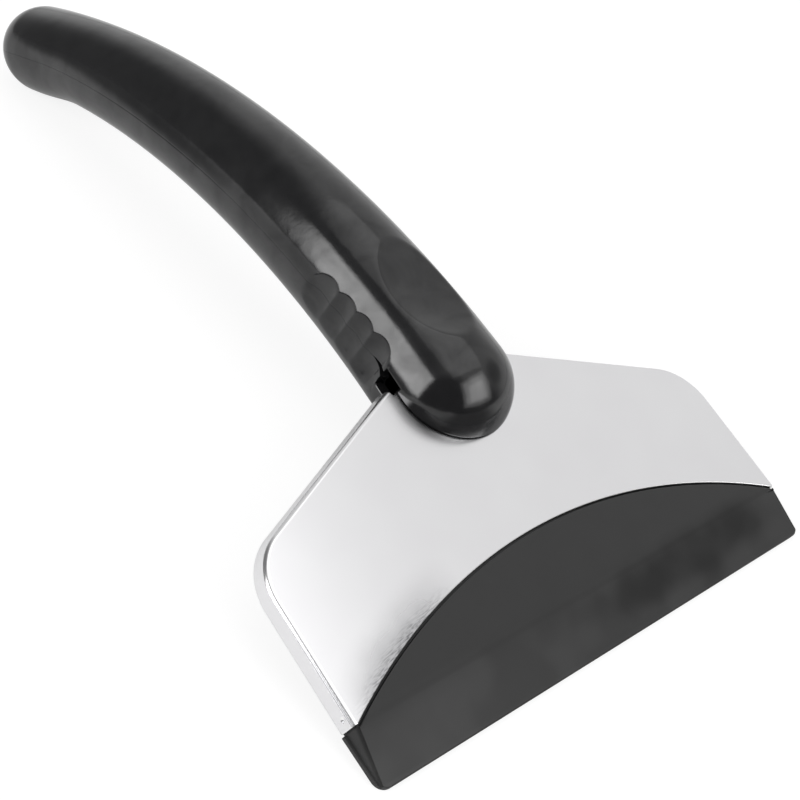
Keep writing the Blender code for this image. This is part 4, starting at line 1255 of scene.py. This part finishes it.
# %% [markdown]
# The half is mirrored, and modifiers finish the sheet: one gives it its thickness, one breaks its
# sheared edges, and one lets the large faces decide how the shading runs, so that they look flat.

# %% Mirror, thickness and edges
STEEL_EDGE_ROUNDING = 0.2
BROKEN_FROM = radians(60)


def keep_flat(piece):
    """Lets the large faces decide the normals, so that rounded edges don't tint them."""
    flat = piece.modifiers.new("flat_faces_stay_flat", "WEIGHTED_NORMAL")
    flat.keep_sharp = True


mirror_half(shape, TOUCHING)
face_up(shape)
steel_head = finish_piece(shape, "steel_head", steel, "head_steel", "head_plate")

wall = steel_head.modifiers.new("sheet", "SOLIDIFY")
wall.thickness = SHEET * MM
wall.offset = -1
wall.use_even_offset = True
broken = steel_head.modifiers.new("broken_edges", "BEVEL")
broken.limit_method = "ANGLE"
broken.angle_limit = BROKEN_FROM
broken.width = STEEL_EDGE_ROUNDING * MM
broken.segments = 2
broken.use_clamp_overlap = False
keep_flat(steel_head)

# %% [markdown]
# ## Blade
# The blade is one moulding. Its flat pad fills the arc of the steel, flush with it, and a long bevel
# runs down to the scraping edge. Under the steel it goes on as a ledge. At both ends a drafted face
# carries the steel's rim, and a low lip at the bottom spreads out towards the rear.

# %% The blade's outline at each level
BLADE_SEAM = 0.5
BLADE_EDGE_WIDTH = 135.2
BLADE_EDGE_LAND = 1.4
BLADE_END_DRAFT = radians(18.0)
BLADE_LIP_HEIGHT = 1.0
BLADE_LIP_SPLAY = 0.3
BLADE_CORNER_RADIUS = 2.6
BLADE_LEDGE_Y = 40.0
LEDGE_ROOM = 0.2
LEDGE_TOP = -SHEET - LEDGE_ROOM
END_SEAM = 0.3
LIP_Y = RIM_FRONT_Y - END_SEAM
TOP_HALF = side_x(0) - ARC_END_INSET
BEVEL_DROP = BLADE_THICKNESS - BLADE_EDGE_LAND
CORNER_CUTS = 14


def bevel_z(y):
    """Height of the long bevel in front of the pad."""
    return -BEVEL_DROP * (1 - min(y / RIM_FRONT_Y, 1.0))


def end_x(z):
    """Half width of the drafted end face at a height."""
    return TOP_HALF - z * tan(BLADE_END_DRAFT)


def lip_x(y):
    """Half width of the lip, which spreads a little towards the rear."""
    return BLADE_EDGE_WIDTH / 2 + BLADE_LIP_SPLAY * y / LIP_Y


def front_corner(limit_x):
    """Points round the front corner, from the front edge up to the half width, as x and y."""
    splay = atan2(BLADE_LIP_SPLAY, LIP_Y)
    centre_x = BLADE_EDGE_WIDTH / 2 - BLADE_CORNER_RADIUS * tan(pi / 4 - splay / 2)
    angles = [-pi / 2 + (pi / 2 - splay) * step / CORNER_CUTS for step in range(CORNER_CUTS + 1)]
    return [(min(centre_x + BLADE_CORNER_RADIUS * cos(angle), limit_x),
             BLADE_CORNER_RADIUS * (1 + sin(angle))) for angle in angles]


print("blade end drafted from", round(end_x(0), 2), "to", round(end_x(-BLADE_THICKNESS), 2), "mm")

# %% [markdown]
# The moulding is built as a stack of outlines. Two flat faces are drawn at the bottom, the front part
# with its pad and the ledge behind it. They are lifted level by level: to the top of the lip, in to the
# foot of the drafted end, up to the ledge, and the front part alone up to the pad. A number on each
# vertex of the end tells it where that level wants it.

# %% Blade, one half
LEDGE_CORNER = 5.0
PAD_STEPS = 64


def end_outline(level):
    """The points of the blade's end at a level, from the front edge round to the rear of the lip."""
    limit = 2 * lip_x(LIP_Y) if level is None else end_x(level)
    return front_corner(limit) + [(min(lip_x(LIP_Y), limit), LIP_Y)]


def blade_bottom():
    """The two bottom faces of the right half, and the layer that numbers the end's vertices."""
    shape = bmesh.new()
    station = shape.verts.layers.int.new("station")
    front = shape.verts.new((0, 0, 0))
    vert = front
    for number, point in enumerate(end_outline(None)):
        vert = add_line(shape, vert, [point])
        vert[station] = number + 1
    pad_radius = ARC_RADIUS - BLADE_SEAM
    meeting = add_line(shape, vert, [(TOP_HALF, LIP_Y), (TOP_HALF, arc_y(TOP_HALF, pad_radius))])
    ends = shape.edges[:]
    apex = add_arc(shape, meeting, (0, ARC_APEX_Y - ARC_RADIUS), asin(TOP_HALF / pad_radius), PAD_STEPS)
    arc = [edge for edge in shape.edges if edge not in ends]
    bmesh.ops.contextual_create(shape, geom=ends + arc + [shape.edges.new((apex, front))])
    drawn = shape.edges[:]
    corner = (TOP_HALF - LEDGE_CORNER, BLADE_LEDGE_Y - LEDGE_CORNER)
    vert = add_line(shape, meeting, [(TOP_HALF, corner[1])])
    vert = add_arc(shape, vert, corner, pi / 2, CORNER_CUTS)
    add_line(shape, vert, [(0, BLADE_LEDGE_Y)])
    shape.verts.ensure_lookup_table()
    shape.edges.new((shape.verts[-1], apex))
    ledge = [edge for edge in shape.edges if edge not in drawn]
    bmesh.ops.contextual_create(shape, geom=arc + ledge)
    bmesh.ops.translate(shape, vec=(0, 0, -BLADE_THICKNESS), verts=shape.verts)
    return shape, station


def lift(shape, station, faces, level):
    """Extrudes faces up to a level, or to the long bevel if that is lower, and gives the new faces."""
    made = bmesh.ops.extrude_face_region(shape, geom=faces)["geom"]
    for vert in made:
        if isinstance(vert, bmesh.types.BMVert):
            vert.co.z = min(level, bevel_z(vert.co.y))
            if vert[station]:
                vert.co.x, vert.co.y = end_outline(vert.co.z)[vert[station] - 1]
                vert.co.z = min(level, bevel_z(vert.co.y))
    bmesh.ops.delete(shape, geom=faces, context="FACES")
    return [face for face in made if isinstance(face, bmesh.types.BMFace)]


shape, station = blade_bottom()
print("blade outline has", len(shape.verts), "points and", len(shape.faces), "faces")

# %% [markdown]
# The lip is a plain extrusion. From its top each level is lifted with its end outline drawn in, so the
# end gets its draft. Where the ledge meets the steel's rim, its side leans with the rim.

# %% The levels of the blade
foot = BLADE_LIP_HEIGHT - BLADE_THICKNESS
made = bmesh.ops.extrude_face_region(shape, geom=shape.faces[:], use_keep_orig=True)["geom"]
bmesh.ops.translate(shape, vec=(0, 0, BLADE_LIP_HEIGHT),
                    verts=[item for item in made if isinstance(item, bmesh.types.BMVert)])
faces = [item for item in made if isinstance(item, bmesh.types.BMFace)]
faces = lift(shape, station, faces, foot)
faces = lift(shape, station, faces, LEDGE_TOP)
lift(shape, station, [face for face in faces if any(vert[station] for vert in face.verts)], 0.0)
bmesh.ops.remove_doubles(shape, verts=shape.verts, dist=TOUCHING)
for vert in shape.verts:
    if abs(vert.co.x - TOP_HALF) < TOUCHING:
        vert.co.x -= vert.co.z * tan(RIM_DRAFT)
print("half of the blade has", len(shape.faces), "faces")

# %% [markdown]
# The halves are joined, and the edges round the top and the underside are bevelled a little, as every
# moulding's are. That comes before any cut, because a bevel that runs over short pieces of edge goes
# wrong. The top of the front part has no crease yet between pad and bevel. Rows of cuts give it points
# near the crease, and a smooth minimum of the two planes lowers them on to its soft round.

# %% Crease, mirror and edges
CREASE_REACH = 3.2
CREASE_CUTS = 5
FRONT_CUTS = (1.0, 3.4, 6.5)
CROSS_CUTS = (8.0, 24.0, 40.0, 54.0, 63.0)
BLADE_EDGE_ROUNDING = 0.2
BLADE_EDGE_STEPS = 3
SMALLEST_TOP = 100.0
FACING = 0.9
FLAT_WITHIN = radians(0.2)

mirror_half(shape, TOUCHING)
middle = [face for face in shape.faces if all(abs(vert.co.x) < TOUCHING for vert in face.verts)]
bmesh.ops.delete(shape, geom=middle, context="FACES")
bmesh.ops.dissolve_limit(shape, angle_limit=FLAT_WITHIN, verts=shape.verts[:],
                         edges=shape.edges[:])
bmesh.ops.recalc_face_normals(shape, faces=shape.faces)
top = [face for face in shape.faces if face.normal.z > FACING
       and any(abs(vert.co.z) < TOUCHING for vert in face.verts)]
under = [face for face in shape.faces if face.normal.z < -FACING]
print("faces of the blade's top:", len(top), "and of its underside:", len(under))
for faces in (top, under):
    edges = [edge for face in faces for edge in face.edges
             if sum(other in faces for other in edge.link_faces) == 1]
    bmesh.ops.bevel(shape, geom=edges, offset=BLADE_EDGE_ROUNDING, segments=BLADE_EDGE_STEPS,
                    profile=0.5, affect="EDGES", clamp_overlap=False, material=-1)
top = [face for face in shape.faces if face.normal.z > FACING and face.calc_area() > SMALLEST_TOP
       and min(vert.co.y for vert in face.verts) < BLADE_CORNER_RADIUS]
cuts = [((0, RIM_FRONT_Y + CREASE_REACH * step / CREASE_CUTS, 0), (0, 1, 0))
        for step in range(-CREASE_CUTS, CREASE_CUTS + 1)]
cuts += [((0, y, 0), (0, 1, 0)) for y in FRONT_CUTS]
cuts += [((side * x, 0, 0), (1, 0, 0)) for x in CROSS_CUTS for side in (-1, 1)]
for place, direction in cuts:
    made = bmesh.ops.bisect_plane(shape, geom=top + edges_of(top), plane_co=place, plane_no=direction,
                                  dist=TOUCHING)
    top = [item for item in made["geom"] if isinstance(item, bmesh.types.BMFace)]
slope = BEVEL_DROP / RIM_FRONT_Y
for vert in {vert for face in top for vert in face.verts}:
    vert.co.z = smooth_min(0.0, slope * (vert.co.y - RIM_FRONT_Y), slope * CREASE_REACH)
bmesh.ops.recalc_face_normals(shape, faces=shape.faces)
blade = finish_piece(shape, "blade", pp_grey, "blade_plastic", "scraper_blade")
keep_flat(blade)
print("crease", round(slope * CREASE_REACH / 4, 2), "mm lower than a sharp one")

# %% [markdown]
# ## Room
# A white room with dark zones. A glossy black thing shows its shape only by what it mirrors, so the
# photographer stands black cards beside the camera and in front of the nose. Mirrors see them here as
# soft dark zones of the room's light. The lens sees plain white, and the diffuse light is even. Each
# zone below is an azimuth and an elevation, the angles at which its core ends and its edge fades out,
# all in degrees, and how dark it is.

# %% The room's tone in each direction
ROOM_ZONES = (
    (-130, 15, 35, 60, 0.92),
    (162, -4, 20, 46, 0.80),
    (117, 28, 6, 20, 0.55),
    (-34, 28, 22, 56, 0.78),
    (-76, 62, 6, 14, 0.45),
    (-76, -3, 6, 11, 0.85),
)
# Painted shade on the floor: in these directions mirrors see the paper painted darker.
FLOOR_SHADE_ZONES = (
    (-32, 0, 8, 20, 0.75),
    (-76, -3, 6, 11, 0.85),
    (178, -8, 14, 34, 0.75),
)
FLOOR_SEEN_FROM = Vector((-0.012, 0.0, 0.024))


def toward(azimuth, elevation):
    """A direction: azimuth 0 looks from the blade to the tail, 90 to the right, in degrees."""
    across, lift = radians(azimuth), radians(elevation)
    return Vector((sin(across) * cos(lift), cos(across) * cos(lift), sin(lift)))


def room_tone(tree, direction, zones):
    """1 where mirrors see a white room, and less in the dark zones: centre, core, edge and depth."""
    tone = None
    for azimuth, elevation, core, edge, depth in zones:
        close = add_node(tree, "ShaderNodeVectorMath", {0: direction, 1: toward(azimuth, elevation)},
                         operation="DOT_PRODUCT")
        zone = add_node(tree, "ShaderNodeMapRange", {"Value": close, "From Min": cos(radians(edge)),
                                                     "From Max": cos(radians(core)), "To Min": 1.0,
                                                     "To Max": 1 - depth},
                        interpolation_type="SMOOTHSTEP")
        tone = zone if tone is None else add_node(tree, "ShaderNodeMath", {0: tone, 1: zone},
                                                  operation="MULTIPLY")
    return tone


def mirror_rays(tree):
    """The Light Path node, and 1 for the rays of mirrors and of glass."""
    rays = add_node(tree, "ShaderNodeLightPath")
    mirrored = add_node(tree, "ShaderNodeMath", {0: rays.outputs["Is Glossy Ray"],
                                                 1: rays.outputs["Is Transmission Ray"]},
                        operation="MAXIMUM")
    return rays, mirrored


# %% [markdown]
# The world tells three kinds of rays apart. The lens gets plain white, mirrors get the white room with
# its dark zones, and everything else gets one even light.

# %% The room
ROOM_LIGHT = 0.36
ROOM_WHITE = 0.8

world = bpy.data.worlds.new("room")
bpy.context.scene.world = world
world.use_nodes = True
tree = world.node_tree
tree.nodes.clear()
rays, mirrored = mirror_rays(tree)
direction = add_node(tree, "ShaderNodeTexCoord").outputs["Generated"]
shown = add_node(tree, "ShaderNodeMath", {0: room_tone(tree, direction, ROOM_ZONES), 1: ROOM_WHITE},
                 operation="MULTIPLY")
in_mirror = add_node(tree, "ShaderNodeMix", {"Factor": mirrored, 2: ROOM_LIGHT, 3: shown})
strength = add_node(tree, "ShaderNodeMix", {"Factor": rays.outputs["Is Camera Ray"], 2: in_mirror,
                                            3: 1.0})
background = add_node(tree, "ShaderNodeBackground", {"Color": linear("#FFFFFF"), "Strength": strength})
add_node(tree, "ShaderNodeOutputWorld", {"Surface": background})
print(len(ROOM_ZONES), "dark zones in the room and", len(FLOOR_SHADE_ZONES), "on the floor")

# %% [markdown]
# ## Floor
# The floor is plain white paper. The lens sees it as white, apart from the faint shadow of the tool,
# and mirrors see it with dark zones like the room's: there the paper's colour is painted darker, a
# painted shade.

# %% Floor
FLOOR_SIZE = 6.0
FLOOR_PAPER = "#E4E4E4"
FLOOR_FAINT = "#808080"
SHOWN_WHITE = 0.84
MIRRORED_WHITE = 0.12

floor_mesh = bpy.data.meshes.new("floor")
shape = bmesh.new()
bmesh.ops.create_grid(shape, x_segments=1, y_segments=1, size=FLOOR_SIZE / 2)
shape.to_mesh(floor_mesh)
shape.free()
floor = bpy.data.objects.new("floor", floor_mesh)
bpy.context.scene.collection.objects.link(floor)

paper, tree = new_material("paper_white_floor")
rays, mirrored = mirror_rays(tree)
place = add_node(tree, "ShaderNodeTexCoord").outputs["Object"]
offset = add_node(tree, "ShaderNodeVectorMath", {0: place, 1: FLOOR_SEEN_FROM}, operation="SUBTRACT")
direction = add_node(tree, "ShaderNodeVectorMath", {0: offset}, operation="NORMALIZE")
# Painted shade: the paper's colour for mirror rays is darkened in the floor's zones.
tone = room_tone(tree, direction, FLOOR_SHADE_ZONES)
level = add_node(tree, "ShaderNodeMix", {"Factor": mirrored, 2: 1.0, 3: tone})
white = add_node(tree, "ShaderNodeMix", {"Factor": level, "A": linear("#000000"),
                                         "B": linear(FLOOR_PAPER)}, data_type="RGBA")
dull = add_node(tree, "ShaderNodeBsdfDiffuse", {"Color": white})
glow = add_node(tree, "ShaderNodeMath", {0: mirrored, 1: MIRRORED_WHITE}, operation="MULTIPLY")
glow = add_node(tree, "ShaderNodeMath", {0: glow, 1: tone}, operation="MULTIPLY")
mirror_light = add_node(tree, "ShaderNodeEmission", {"Strength": glow})
for_mirrors = add_node(tree, "ShaderNodeAddShader", {0: dull, 1: mirror_light})
faint = add_node(tree, "ShaderNodeBsdfDiffuse", {"Color": linear(FLOOR_FAINT)})
bright = add_node(tree, "ShaderNodeEmission", {"Strength": SHOWN_WHITE})
for_lens = add_node(tree, "ShaderNodeAddShader", {0: faint, 1: bright})
mix = add_node(tree, "ShaderNodeMixShader", {"Fac": rays.outputs["Is Camera Ray"], 1: for_mirrors,
                                             2: for_lens})
add_node(tree, "ShaderNodeOutputMaterial", {"Surface": mix})
floor_mesh.materials.append(paper)
print("floor", FLOOR_SIZE, "m wide")

# %% [markdown]
# ## Lamps
# Soft boxes light the tool from the side, from the nose and from above. Each fills a window of
# directions, so its picture in the black plastic falls where the real one does. A soft box is brighter
# towards its middle, so smaller ones stand in front of the large ones. They are a little nearer,
# because the light of two lamps at one distance doesn't add up.

# %% The soft boxes
TOOL_MIDDLE = Vector((0, 0, 0.02))
LAMP_DISTANCE = 1.2
CORE_DISTANCE = 1.1
INNER_DISTANCE = 1.0


def soft_box(name, azimuth, elevation, width, height, radiance, distance):
    """A rectangular lamp in a direction, so many degrees wide and high as seen from the tool."""
    direction = toward(azimuth, elevation)
    lamp = bpy.data.lights.new(name, "AREA")
    lamp.shape = "RECTANGLE"
    lamp.size = 2 * distance * tan(radians(width) / 2)
    lamp.size_y = 2 * distance * tan(radians(height) / 2)
    lamp.energy = radiance * pi * lamp.size * lamp.size_y
    item = bpy.data.objects.new(name, lamp)
    bpy.context.scene.collection.objects.link(item)
    item.location = TOOL_MIDDLE + direction * distance
    item.rotation_euler = direction.to_track_quat("Z", "Y").to_euler()
    item.visible_camera = False


soft_box("side_soft_box", -75.5, 24, 36, 44, 2.6, LAMP_DISTANCE)
soft_box("side_soft_box_core", -75.5, 24, 30, 38, 2.6, CORE_DISTANCE)
soft_box("nose_soft_box", 169, 31, 47, 45, 1.0, LAMP_DISTANCE)
soft_box("nose_soft_box_middle", 169, 31, 38, 36, 1.2, CORE_DISTANCE)
soft_box("nose_soft_box_core", 168, 29, 27, 26, 1.0, INNER_DISTANCE)
soft_box("top_soft_box", 88, 86, 54, 56, 0.62, LAMP_DISTANCE)

# %% [markdown]
# ## The finished scene
# The Standard view shows colours as they were written.

bpy.context.scene.view_settings.view_transform = "Standard"
